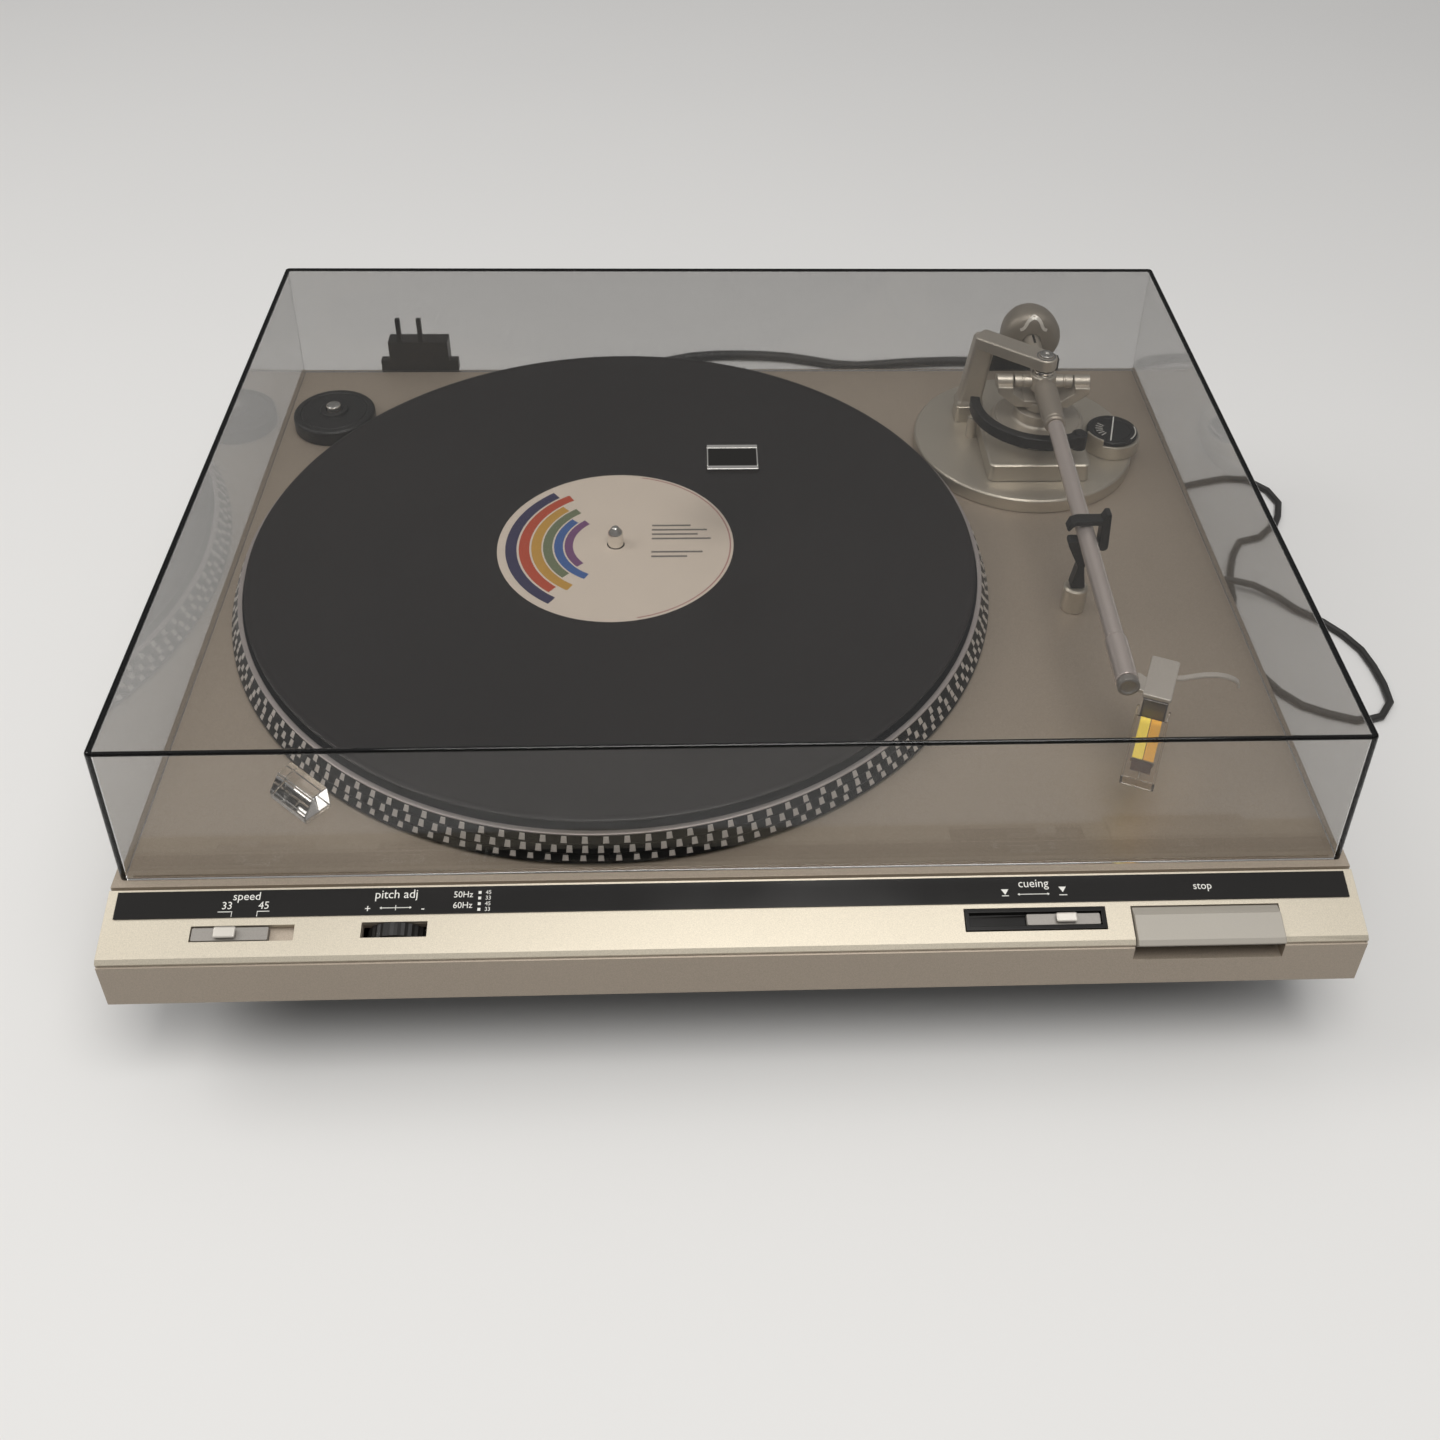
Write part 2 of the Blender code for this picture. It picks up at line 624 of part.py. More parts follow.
def soften(obj, width, segments=1):
    """Bevelled edges."""
    mod = obj.modifiers.new("edges", "BEVEL")
    mod.width = width
    mod.segments = segments
    mod.limit_method = "ANGLE"
    return mod


def turned(name, profile, mat=None, steps=48, cutter=False):
    """A body turned about Z. The profile is (radius, height), down the outer side and back up the inner one."""
    ring = abs(profile[0][0]) > MERGE
    mesh = bpy.data.meshes.new(name)
    count = len(profile)
    edges = [(i, i + 1) for i in range(count - 1)] + ([(count - 1, 0)] if ring else [])
    mesh.from_pydata([(r, 0.0, z) for r, z in profile], edges, [])
    obj = add(name, mesh, mat, cutter=cutter)
    mod = obj.modifiers.new("turn", "SCREW")
    mod.axis = "Z"
    mod.steps = steps
    mod.render_steps = steps
    mod.use_merge_vertices = True
    mod.merge_threshold = MERGE
    mod.use_smooth_shade = True
    return settle(obj)


def settle(obj):
    """Turns a piece's curve or modifiers into its own mesh, welded and facing out."""
    bpy.context.view_layer.update()
    graph = bpy.context.evaluated_depsgraph_get()
    mesh = bpy.data.meshes.new_from_object(obj.evaluated_get(graph))
    bm = bmesh.new()
    bm.from_mesh(mesh)
    bmesh.ops.remove_doubles(bm, verts=bm.verts, dist=MERGE)
    bmesh.ops.recalc_face_normals(bm, faces=bm.faces)
    bm.to_mesh(mesh)
    bm.free()
    if obj.type == "MESH":
        obj.modifiers.clear()
        obj.data = mesh
        mesh.set_sharp_from_angle(angle=math.radians(35))
        return obj
    home = obj.users_collection[0]
    new = bpy.data.objects.new(obj.name, mesh)
    new.matrix_world = obj.matrix_world
    hidden = obj.hide_render
    label = obj.name
    bpy.data.objects.remove(obj, do_unlink=True)
    new.name = label
    new.hide_render = hidden
    new.display_type = "WIRE" if hidden else "TEXTURED"
    home.objects.link(new)
    return new


FACING = {
    "X": Matrix(((0, 0, 1), (1, 0, 0), (0, 1, 0))),
    "Y": Matrix(((1, 0, 0), (0, 0, -1), (0, 1, 0))),
    "Z": Matrix.Identity(3),
}


def outline(name, points, thickness, axis="Z", mat=None, middle=0.0, cutter=False):
    """A flat closed outline with a thickness, centred on 'middle' along an axis."""
    curve = bpy.data.curves.new(name, "CURVE")
    curve.dimensions = "2D"
    curve.fill_mode = "BOTH"
    curve.extrude = thickness / 2
    spline = curve.splines.new("POLY")
    spline.points.add(len(points) - 1)
    for p, (a, b) in zip(spline.points, points):
        p.co = (a, b, 0.0, 1.0)
    spline.use_cyclic_u = True
    obj = bpy.data.objects.new(name, curve)
    (cutters if cutter else parts).objects.link(obj)
    obj.hide_render = cutter
    obj = settle(obj)
    turn = FACING[axis].to_4x4()
    shift = {"X": (middle, 0, 0), "Y": (0, middle, 0), "Z": (0, 0, middle)}[axis]
    obj.data.transform(Matrix.Translation(shift) @ turn)
    if mat:
        obj.data.materials.append(mat)
    return obj


def rod(name, points, radius, mat=None, resolution=2, cutter=False):
    """A round rod along points."""
    curve = bpy.data.curves.new(name, "CURVE")
    curve.dimensions = "3D"
    curve.bevel_depth = radius
    curve.bevel_resolution = resolution
    curve.use_fill_caps = True
    spline = curve.splines.new("POLY")
    spline.points.add(len(points) - 1)
    for p, co in zip(spline.points, points):
        p.co = (*co, 1.0)
    obj = bpy.data.objects.new(name, curve)
    (cutters if cutter else parts).objects.link(obj)
    obj.hide_render = cutter
    obj = settle(obj)
    obj.data.shade_smooth()
    obj.data.set_sharp_from_angle(angle=math.radians(50))
    if mat:
        obj.data.materials.append(mat)
    return obj


def combine(target, other, operation):
    """A Boolean with another body, which becomes a hidden cutter."""
    if other.name in parts.objects:
        parts.objects.unlink(other)
        cutters.objects.link(other)
    other.hide_render = True
    other.display_type = "WIRE"
    mod = target.modifiers.new(other.name, "BOOLEAN")
    mod.operation = operation
    mod.object = other
    mod.solver = "EXACT"


def cut(target, *others):
    for other in others:
        combine(target, other, "DIFFERENCE")


def join(target, *others):
    for other in others:
        combine(target, other, "UNION")


def cylinder(name, radius, low, high, x=0.0, y=0.0, mat=None, steps=32, cutter=False):
    """An upright cylinder."""
    obj = turned(name, [(0, high), (radius, high), (radius, low), (0, low)], mat, steps, cutter)
    obj.data.transform(Matrix.Translation((x, y, 0)))
    return obj


def smooth_path(points, spacing):
    """Points at an even spacing along a smooth curve through the given ones."""
    pts = [Vector(p) for p in points]
    ends = [2 * pts[0] - pts[1]] + pts + [2 * pts[-1] - pts[-2]]
    fine = []
    parts_per_span = 24
    for i in range(len(pts) - 1):
        a, b, c, d = ends[i:i + 4]
        for k in range(parts_per_span):
            t = k / parts_per_span
            fine.append(((b * 2) + (c - a) * t + (a * 2 - b * 5 + c * 4 - d) * t ** 2
                         + (b * 3 - a - c * 3 + d) * t ** 3) / 2)
    fine.append(pts[-1])
    total = sum((q - p).length for p, q in zip(fine, fine[1:]))
    count = max(2, round(total / spacing))
    step = total / count
    out = [fine[0]]
    run = 0.0
    for p, q in zip(fine, fine[1:]):
        seg = (q - p).length
        while seg and run + seg >= step * len(out) and len(out) < count:
            out.append(p.lerp(q, (step * len(out) - run) / seg))
        run += seg
    out.append(fine[-1])
    return out


# The case: a moulded shell, open below
panel_frame = empty("panel_frame", (0, RIM_Y, LEDGE_Z))
panel_frame.rotation_euler = (PANEL_ANGLE, 0, 0)
under_panel = PANEL_T + GAP
seat_front_z = LEDGE_Z - PANEL_DROP - under_panel / math.cos(PANEL_ANGLE)
groove_y = RIM_Y + PANEL_GROOVE
seat_groove_z = LEDGE_Z - under_panel / math.cos(PANEL_ANGLE) + PANEL_GROOVE * math.tan(PANEL_ANGLE)
plinth = outline("plinth", [
    (CASE_FRONT_Y, CASE_BOTTOM_Z), (CASE_BACK_Y, CASE_BOTTOM_Z), (CASE_BACK_Y, LEDGE_Z),
    (groove_y, LEDGE_Z), (groove_y, seat_groove_z), (CASE_FRONT_Y, seat_front_z),
], CASE_W, "X", CHAMPAGNE)
deck_slab = box("deck_slab", (-HALF_W + DECK_MARGIN, COVER_FRONT_Y + COVER_T + LEDGE_DROP, LEDGE_Z - WALL / 2),
                (HALF_W - DECK_MARGIN, COVER_BACK_Y - COVER_T - LEDGE_DROP, DECK_Z), cutter=True)
inside = outline("case_inside", [
    (CASE_FRONT_Y + WALL, CASE_BOTTOM_Z - CUT_OVER), (CASE_BACK_Y - WALL, CASE_BOTTOM_Z - CUT_OVER),
    (CASE_BACK_Y - WALL, DECK_UNDER_Z), (groove_y + WALL, DECK_UNDER_Z),
    (groove_y, seat_groove_z - WALL), (CASE_FRONT_Y + WALL, seat_front_z - WALL + WALL * math.tan(PANEL_ANGLE)),
], CASE_W - 2 * WALL, "X", cutter=True)
cut(plinth, inside)
join(plinth, deck_slab)
motor_hole = cylinder("motor_hole", MOTOR_HOLE_R, DECK_UNDER_Z - CUT_OVER, DECK_Z + CUT_OVER,
                      SPINDLE_X, SPINDLE_Y, steps=TURN_STEPS, cutter=True)
adapter_out = PLATTER_RIM_R + ADAPTER_CLEAR + ADAPTER_R
adapter_x = SPINDLE_X + adapter_out * math.cos(ADAPTER_AZIMUTH)
adapter_y = SPINDLE_Y + adapter_out * math.sin(ADAPTER_AZIMUTH)
peg = cylinder("adapter_peg", PEG_R, LEDGE_Z - WALL / 2, DECK_Z + PEG_TOP, adapter_x, adapter_y, steps=24,
               cutter=True)
cut(plinth, motor_hole)
join(plinth, peg)

# The front panel: a thin plate on the slope, with a bevelled front edge
panel = outline("control_panel", [
    (-PANEL_LENGTH + PANEL_LIP, 0.0), (-PANEL_GROOVE / 2, 0.0), (-PANEL_GROOVE / 2, -PANEL_T),
    (-PANEL_LENGTH, -PANEL_T), (-PANEL_LENGTH, -PANEL_LIP / 2),
], CASE_W, "X", PANEL_METAL)
place(panel, parent=panel_frame)
fascia = box("fascia", (-FASCIA_HALF_W, -FASCIA_LOW_S, GAP), (FASCIA_HALF_W, -FASCIA_TOP_S, FASCIA_T),
             BLACK_GLOSS)
place(fascia, parent=panel_frame)


def pocket(name, left, right, top_s, low_s, depth):
    """A cutter for an opening in the panel."""
    return place(box(name, (left, -low_s, -depth), (right, -top_s, CUT_OVER), cutter=True), parent=panel_frame)


speed_pocket = pocket("speed_pocket", SPEED_LEFT, SPEED_RIGHT, SPEED_TOP_S, SPEED_LOW_S, POCKET_DEPTH)
cue_pocket = pocket("cue_pocket", CUE_LEFT - GAP, CUE_RIGHT + GAP, CUE_TOP_S - GAP, CUE_LOW_S + GAP,
                    POCKET_DEPTH)
pitch_slot = pocket("pitch_slot", PITCH_LEFT, PITCH_RIGHT, PITCH_TOP_S, PITCH_LOW_S, 3 * WALL)
cut(panel, speed_pocket, cue_pocket, pitch_slot)
cut(plinth, speed_pocket, cue_pocket, pitch_slot)

# The stop button and its well, open at the front
stop_well = pocket("stop_well", STOP_LEFT - RUN_GAP, STOP_RIGHT + RUN_GAP, STOP_TOP_S - RUN_GAP,
                   PANEL_LENGTH + 4 * WALL, 2 * WALL)
cut(panel, stop_well)
button_reach = (STOP_FACE_H + STOP_TRAVEL) * math.sin(PANEL_ANGLE) + RUN_GAP
well_back_y = CASE_FRONT_Y + (PANEL_LENGTH - STOP_TOP_S + RUN_GAP) * math.cos(PANEL_ANGLE) + button_reach
well_low_z = CASE_BOTTOM_Z + STOP_WELL_H
stop_opening = box("stop_opening", (STOP_LEFT - RUN_GAP, CASE_FRONT_Y - CUT_OVER, well_low_z + STOP_WALL),
                   (STOP_RIGHT + RUN_GAP, well_back_y, LEDGE_Z + CUT_OVER), cutter=True)
liner_rise = (well_back_y + STOP_WALL - CASE_FRONT_Y) * math.tan(PANEL_ANGLE)
well_liner = outline("stop_well_liner", [
    (CASE_FRONT_Y + WALL / 2, well_low_z), (well_back_y + STOP_WALL, well_low_z),
    (well_back_y + STOP_WALL, seat_front_z + liner_rise - WALL / 2),
    (CASE_FRONT_Y + WALL / 2, seat_front_z - WALL / 2),
], STOP_RIGHT - STOP_LEFT + 2 * (RUN_GAP + STOP_WALL), "X", middle=(STOP_LEFT + STOP_RIGHT) / 2, cutter=True)
join(plinth, well_liner)
cut(plinth, stop_opening)
stop_top_y = -STOP_TOP_S
stop_front = -PANEL_LENGTH - STOP_PROUD * math.cos(PANEL_ANGLE)
face_step = STOP_FACE_H * math.cos(PANEL_ANGLE)
face_back = STOP_FACE_H * math.sin(PANEL_ANGLE)
stop_button = outline("stop_button", [
    (stop_top_y, 0.0), (stop_top_y - STOP_BEVEL_S, STOP_RISE), (stop_front + STOP_RISE, STOP_RISE),
    (stop_front, STOP_RISE - STOP_RISE / 2), (stop_front + face_back, STOP_RISE / 2 - face_step),
    (stop_top_y, STOP_RISE / 2 - face_step),
], STOP_RIGHT - STOP_LEFT, "X", KNOB_GREY, middle=(STOP_LEFT + STOP_RIGHT) / 2)
place(stop_button, parent=panel_frame)

# The speed slider: its knob fills the left part of the slot
slider_top = -SLIDER_BELOW
slider_low = -POCKET_DEPTH + GAP
speed_slider = box("speed_slider", (SPEED_LEFT + GAP, -SPEED_LOW_S + RUN_GAP, slider_low),
                   (SPEED_LEFT + SPEED_SLIDER_L, -SPEED_TOP_S - RUN_GAP, slider_top), KNOB_GREY)
speed_cap = box("speed_cap", (SPEED_LEFT + SPEED_CAP_FROM, -SPEED_LOW_S + CAP_MARGIN, slider_top - CAP_MARGIN),
                (SPEED_LEFT + SPEED_CAP_FROM + SPEED_CAP_L, -SPEED_TOP_S - CAP_MARGIN, slider_top + CAP_RISE),
                cutter=True)
join(speed_slider, speed_cap)
place(speed_slider, parent=panel_frame)
place(speed_cap, parent=panel_frame)

# The cueing slider in its black frame
cue_bezel = box("cue_bezel", (CUE_LEFT, -CUE_LOW_S, -POCKET_DEPTH + GAP), (CUE_RIGHT, -CUE_TOP_S, BEZEL_RISE),
                BLACK_PLASTIC)
bezel_floor = -POCKET_DEPTH + GAP + FASCIA_T
bezel_hole = box("bezel_hole", (CUE_LEFT + BEZEL_RIM, -CUE_LOW_S + BEZEL_RIM, bezel_floor),
                 (CUE_RIGHT - BEZEL_RIM, -CUE_TOP_S - BEZEL_RIM, CUT_OVER), cutter=True)
cut(cue_bezel, bezel_hole)
place(cue_bezel, parent=panel_frame)
place(bezel_hole, parent=panel_frame)
cue_right = CUE_RIGHT - BEZEL_RIM - GAP
cue_left = cue_right - CUE_SLIDER_L
cue_slider = box("cue_slider", (cue_left, -CUE_LOW_S + BEZEL_RIM + RUN_GAP, bezel_floor + GAP),
                 (cue_right, -CUE_TOP_S - BEZEL_RIM - RUN_GAP, slider_top), KNOB_GREY)
cap_left = cue_left + CUE_CAP_FROM
cue_cap = box("cue_cap", (cap_left, -CUE_LOW_S + BEZEL_RIM + CAP_MARGIN, slider_top - CAP_MARGIN),
              (cap_left + CUE_CAP_L, -CUE_TOP_S - BEZEL_RIM - CAP_MARGIN, slider_top + CAP_RISE),
              cutter=True)
join(cue_slider, cue_cap)
place(cue_slider, parent=panel_frame)
place(cue_cap, parent=panel_frame)

# The pitch wheel: an edge wheel whose axle runs down the slope, in a carrier under the panel
pitch_x = (PITCH_LEFT + PITCH_RIGHT) / 2
pitch_s = (PITCH_TOP_S + PITCH_LOW_S) / 2
pitch_frame = empty("pitch_frame", (pitch_x, -pitch_s, PITCH_RISE - PITCH_R), panel_frame)
wheel_half = (PITCH_LOW_S - PITCH_TOP_S) / 2 - RUN_GAP
knurl = []
for i in range(2 * PITCH_KNURLS):
    a = math.pi * i / PITCH_KNURLS
    r = PITCH_R - (PITCH_KNURL_H if i % 2 else 0)
    knurl.append((r * math.cos(a), r * math.sin(a)))
pitch_wheel = outline("pitch_wheel", knurl, 2 * wheel_half, "Y", BLACK_PLASTIC)
pitch_axle = turned("pitch_axle", [
    (0, wheel_half + 2 * CARRIER_T), (PITCH_AXLE_R, wheel_half + 2 * CARRIER_T),
    (PITCH_AXLE_R, -wheel_half - 2 * CARRIER_T), (0, -wheel_half - 2 * CARRIER_T),
], steps=16, cutter=True)
pitch_axle.data.transform(Matrix.Rotation(math.pi / 2, 4, "X"))
join(pitch_wheel, pitch_axle)
place(pitch_wheel, parent=pitch_frame)
place(pitch_axle, parent=pitch_frame)
carrier_top = PITCH_R - PITCH_RISE - PANEL_T - GAP - WALL - GAP
carrier_low = -PITCH_AXLE_R - CARRIER_T
cheek_y = wheel_half + RUN_GAP
pitch_carrier = box("pitch_carrier", (-CARRIER_W / 2, -cheek_y - CARRIER_T, carrier_low),
                    (CARRIER_W / 2, cheek_y + CARRIER_T, carrier_top), BLACK_PLASTIC)
carrier_gap = box("carrier_gap", (-CARRIER_W, -cheek_y, carrier_low - CUT_OVER),
                  (CARRIER_W, cheek_y, carrier_top + CUT_OVER), cutter=True)
axle_hole = turned("axle_hole", [
    (0, CARRIER_W), (PITCH_AXLE_R + GAP, CARRIER_W), (PITCH_AXLE_R + GAP, -CARRIER_W), (0, -CARRIER_W),
], steps=16, cutter=True)
axle_hole.data.transform(Matrix.Rotation(math.pi / 2, 4, "X"))
bridge = box("carrier_bridge", (PITCH_R + RUN_GAP, -cheek_y - CARRIER_T, carrier_top - 2 * CARRIER_T),
             (PITCH_R + RUN_GAP + CARRIER_T, cheek_y + CARRIER_T, carrier_top), cutter=True)
arms = [box(f"carrier_arm_{i}", (0.0, low, carrier_top - 2 * CARRIER_T),
            (PITCH_R + RUN_GAP + CARRIER_T, high, carrier_top), cutter=True)
        for i, (low, high) in enumerate(((-cheek_y - CARRIER_T, -cheek_y), (cheek_y, cheek_y + CARRIER_T)))]
cut(pitch_carrier, carrier_gap)
join(pitch_carrier, *arms, bridge)
cut(pitch_carrier, axle_hole)
for piece in (pitch_carrier, carrier_gap, axle_hole, bridge, *arms):
    place(piece, parent=pitch_frame)

# The bottom tray and the feet
tray_half_w = HALF_W - TRAY_INSET_X
tray_front = CASE_FRONT_Y + TRAY_INSET_Y
tray_back = CASE_BACK_Y - TRAY_INSET_Y
flange_in = WALL + GAP
bottom_tray = box("bottom_tray", (-HALF_W + flange_in, CASE_FRONT_Y + flange_in, CASE_BOTTOM_Z),
                  (HALF_W - flange_in, CASE_BACK_Y - flange_in, CASE_BOTTOM_Z + FLANGE_T), DARK_TRAY)
tray_box = box("tray_box", (-tray_half_w, tray_front, TRAY_LOW_Z),
               (tray_half_w, tray_back, CASE_BOTTOM_Z + GAP), cutter=True)
tray_inside = box("tray_inside", (-tray_half_w + TRAY_T, tray_front + TRAY_T, TRAY_FLOOR_Z),
                  (tray_half_w - TRAY_T, tray_back - TRAY_T, CASE_BOTTOM_Z + CUT_OVER + FLANGE_T), cutter=True)
cam_post_top = DECK_Z - CAM_UNDER_DECK - CAM_T - GAP
cam_post = cylinder("cam_post", CAM_POST_R, TRAY_FLOOR_Z - TRAY_T / 2, cam_post_top, CAM_X, CAM_Y, steps=24,
                    cutter=True)
join(bottom_tray, tray_box)
cut(bottom_tray, tray_inside)
join(bottom_tray, cam_post)
foot_top = TRAY_LOW_Z - GAP
for tag, x, y in (("fl", -FOOT_X, FOOT_FRONT_Y), ("fr", FOOT_X, FOOT_FRONT_Y),
                  ("bl", -FOOT_X, FOOT_BACK_Y), ("br", FOOT_X, FOOT_BACK_Y)):
    foot = turned(f"foot_{tag}", [
        (0, foot_top), (FOOT_R, foot_top), (FOOT_R, foot_top / 2), (FOOT_TIP_R, foot_top / 4),
        (FOOT_TIP_R, FOOT_BEVEL), (FOOT_TIP_R - FOOT_BEVEL, 0.0), (0, 0.0),
    ], RUBBER, 24)
    place(foot, (x, y, 0))

# The platter, with three rows on its stepped rim
rim_height = PLATTER_LIP_Z - PLATTER_RIM_BOTTOM


def rim_point(share, inset=0.0):
    """A point down the rim, from its lip to its bottom edge."""
    return (PLATTER_LIP_R + PLATTER_FLARE * share - inset, PLATTER_LIP_Z - rim_height * share)


rim = []
for top_share, low_share in zip(RIM_TOP_SHARES, RIM_LOW_SHARES):
    rim += [rim_point(top_share, RIM_STEP), rim_point(low_share, -RIM_STEP)]
plate_low = PLATTER_SEAT_Z - PLATTER_PLATE_T
platter = turned("platter", [
    (PLATTER_LIP_R - PLATTER_LIP_W, PLATTER_LIP_Z), (PLATTER_LIP_R, PLATTER_LIP_Z), *rim,
    (PLATTER_RIM_R, PLATTER_RIM_BOTTOM), (PLATTER_RIM_R - PLATTER_SKIRT_T, PLATTER_RIM_BOTTOM),
    (PLATTER_LIP_R - PLATTER_SKIRT_T, plate_low), (PLATTER_HUB_R, plate_low),
    (PLATTER_HUB_R, PLATTER_HUB_BOTTOM),
    (SPINDLE_R + GAP, PLATTER_HUB_BOTTOM), (SPINDLE_R + GAP, PLATTER_SEAT_Z),
    (PLATTER_LIP_R - PLATTER_LIP_W, PLATTER_SEAT_Z),
], PLATTER_METAL, TURN_STEPS)
mat_low = PLATTER_SEAT_Z + GAP
mat_top = mat_low + MAT_T
platter_mat = turned("platter_mat", [
    (SPINDLE_R + GAP, mat_top - MAT_RING_DROP), (MAT_RING_R, mat_top - MAT_RING_DROP), (MAT_RING_R, mat_top),
    (MAT_R, mat_top), (MAT_R, mat_low), (SPINDLE_R + GAP, mat_low),
], RUBBER, TURN_STEPS)
record_low = mat_top + GAP
groove_top = mat_top + GAP + RECORD_T - 2 * RECORD_BEAD_H
record_top = groove_top + RECORD_BEAD_H
record = turned("record", [
    (SPINDLE_R + GAP, record_top), (LABEL_R, record_top), (LABEL_R + RECORD_BEAD_W, groove_top),
    (RECORD_R - RECORD_BEAD_W, groove_top), (RECORD_R - RECORD_BEAD_W / 2, record_top),
    (RECORD_R, (record_top + record_low) / 2), (RECORD_R - RECORD_BEAD_W / 2, record_low),
    (SPINDLE_R + GAP, record_low),
], VINYL, TURN_STEPS)
spindle_low = -SPINDLE_TAIL
spindle = turned("spindle", [
    (0, SPINDLE_TOP), (SPINDLE_TIP_R, SPINDLE_TOP), (SPINDLE_R, SPINDLE_TOP - SPINDLE_TIP_H),
    (SPINDLE_R, spindle_low), (0, spindle_low),
], BRIGHT, 24)
rotor_top = plate_low - GAP
rotor = turned("rotor", [
    (ROTOR_IN_R, rotor_top), (ROTOR_R, rotor_top), (ROTOR_R, rotor_top - ROTOR_H),
    (ROTOR_IN_R, rotor_top - ROTOR_H),
], STEEL, 32)
platter_axis = empty("platter_axis", (SPINDLE_X, SPINDLE_Y, DECK_Z))
for piece in (platter, platter_mat, record, spindle, rotor):
    place(piece, parent=platter_axis)

# The motor under the deck: a frame with its coils, and the spindle's bearing
frame_top = DECK_UNDER_Z - GAP
coil_top = DECK_Z + rotor_top - ROTOR_H - ROTOR_CLEAR
motor_frame = cylinder("motor_frame", MOTOR_HOLE_R + MOTOR_FRAME_LAP, frame_top - MOTOR_FRAME_T, frame_top,
                       mat=STEEL, steps=36)
for i in range(COIL_COUNT):
    a = 2 * math.pi * i / COIL_COUNT
    coil = cylinder(f"coil_{i}", COIL_R, frame_top - MOTOR_FRAME_T / 2, coil_top,
                    COIL_RING_R * math.cos(a), COIL_RING_R * math.sin(a), steps=12, cutter=True)
    place(coil, (SPINDLE_X, SPINDLE_Y, 0))
    join(motor_frame, coil)
bearing_hole = cylinder("bearing_hole", BEARING_R + GAP, frame_top - 2 * MOTOR_FRAME_T, frame_top + CUT_OVER,
                        steps=24, cutter=True)
cut(motor_frame, bearing_hole)
place(motor_frame, (SPINDLE_X, SPINDLE_Y, 0))
place(bearing_hole, (SPINDLE_X, SPINDLE_Y, 0))
bearing_top = DECK_Z + PLATTER_HUB_BOTTOM - GAP
bearing_low = DECK_Z - SPINDLE_TAIL - GAP - BEARING_FLOOR
bearing_lip = BEARING_R + BEARING_FLANGE_W
frame_under = frame_top - MOTOR_FRAME_T - GAP
bearing = turned("bearing", [
    (0, bearing_low + BEARING_FLOOR), (SPINDLE_R + GAP, bearing_low + BEARING_FLOOR),
    (SPINDLE_R + GAP, bearing_top), (BEARING_R, bearing_top), (BEARING_R, frame_under),
    (bearing_lip, frame_under),
    (bearing_lip, frame_under - BEARING_FLOOR / 2), (BEARING_R, frame_under - BEARING_FLOOR / 2),
    (BEARING_R, bearing_low), (0, bearing_low),
], ALLOY, 20)
place(bearing, (SPINDLE_X, SPINDLE_Y, 0))

# The return cam of the automatic mechanism, with its teeth
teeth = []
for i in range(4 * CAM_TEETH):
    a = 2 * math.pi * i / (4 * CAM_TEETH)
    r = CAM_R if i % 4 in (0, 1) else CAM_R - CAM_TOOTH
    teeth.append((r * math.cos(a), r * math.sin(a)))
return_cam = outline("return_cam", teeth, CAM_T, "Z", BLACK_PLASTIC)
cam_hub = cylinder("cam_hub", CAM_HUB_R, -CAM_T / 4, CAM_T, steps=24, cutter=True)
cam_peg = cylinder("cam_peg", CAM_HUB_R / 2, -CAM_T / 4, 2 * CAM_T, CAM_R / 2, 0.0, steps=16, cutter=True)
join(return_cam, cam_hub, cam_peg)
cam_z = DECK_Z - CAM_UNDER_DECK - CAM_T / 2
for piece in (return_cam, cam_hub, cam_peg):
    place(piece, (CAM_X, CAM_Y, cam_z))

# Transformer and circuit board on the tray's floor
floor_z = TRAY_FLOOR_Z + GAP
core_l, core_w, core_h = TRANS_CORE
wound_l, wound_w, wound_h = TRANS_COIL
transformer = box("transformer", (-core_l / 2, -core_w / 2, 0.0), (core_l / 2, core_w / 2, core_h), STEEL)
winding = box("winding", (-wound_l / 2, -wound_w / 2, (core_h - wound_h) / 2),
              (wound_l / 2, wound_w / 2, (core_h + wound_h) / 2), cutter=True)
join(transformer, winding)
place(transformer, (TRANS_X, TRANS_Y, floor_z))
place(winding, (TRANS_X, TRANS_Y, floor_z))
board_l, board_w, board_t = BOARD_SIZE
board_top = BOARD_STAND + board_t
circuit_board = box("circuit_board", (-board_l / 2, -board_w / 2, BOARD_STAND),
                    (board_l / 2, board_w / 2, board_top), GREEN_BOARD)
on_board = []
for i, (sx, sy) in enumerate(((-1, -1), (1, -1), (-1, 1), (1, 1))):
    on_board.append(cylinder(f"stand_{i}", BOARD_STAND_R, 0.0, BOARD_STAND + board_t / 2,
                             sx * (board_l / 2 - BOARD_STAND_INSET), sy * (board_w / 2 - BOARD_STAND_INSET),
                             steps=12, cutter=True))
chip_l, chip_w, chip_h = CHIP
for i, share in enumerate(CHIP_SHARES):
    middle = share * board_l
    on_board.append(box(f"chip_{i}", (middle - chip_l / 2, -chip_w / 2, board_top - board_t / 2),
                        (middle + chip_l / 2, chip_w / 2, board_top + chip_h), cutter=True))
    on_board.append(cylinder(f"capacitor_{i}", CAPACITOR_R, board_top - board_t / 2, board_top + CAPACITOR_H,
                             middle, -board_w / 4, steps=16, cutter=True))
join(circuit_board, *on_board)
for piece in (circuit_board, *on_board):
    place(piece, (BOARD_X, BOARD_Y, floor_z))

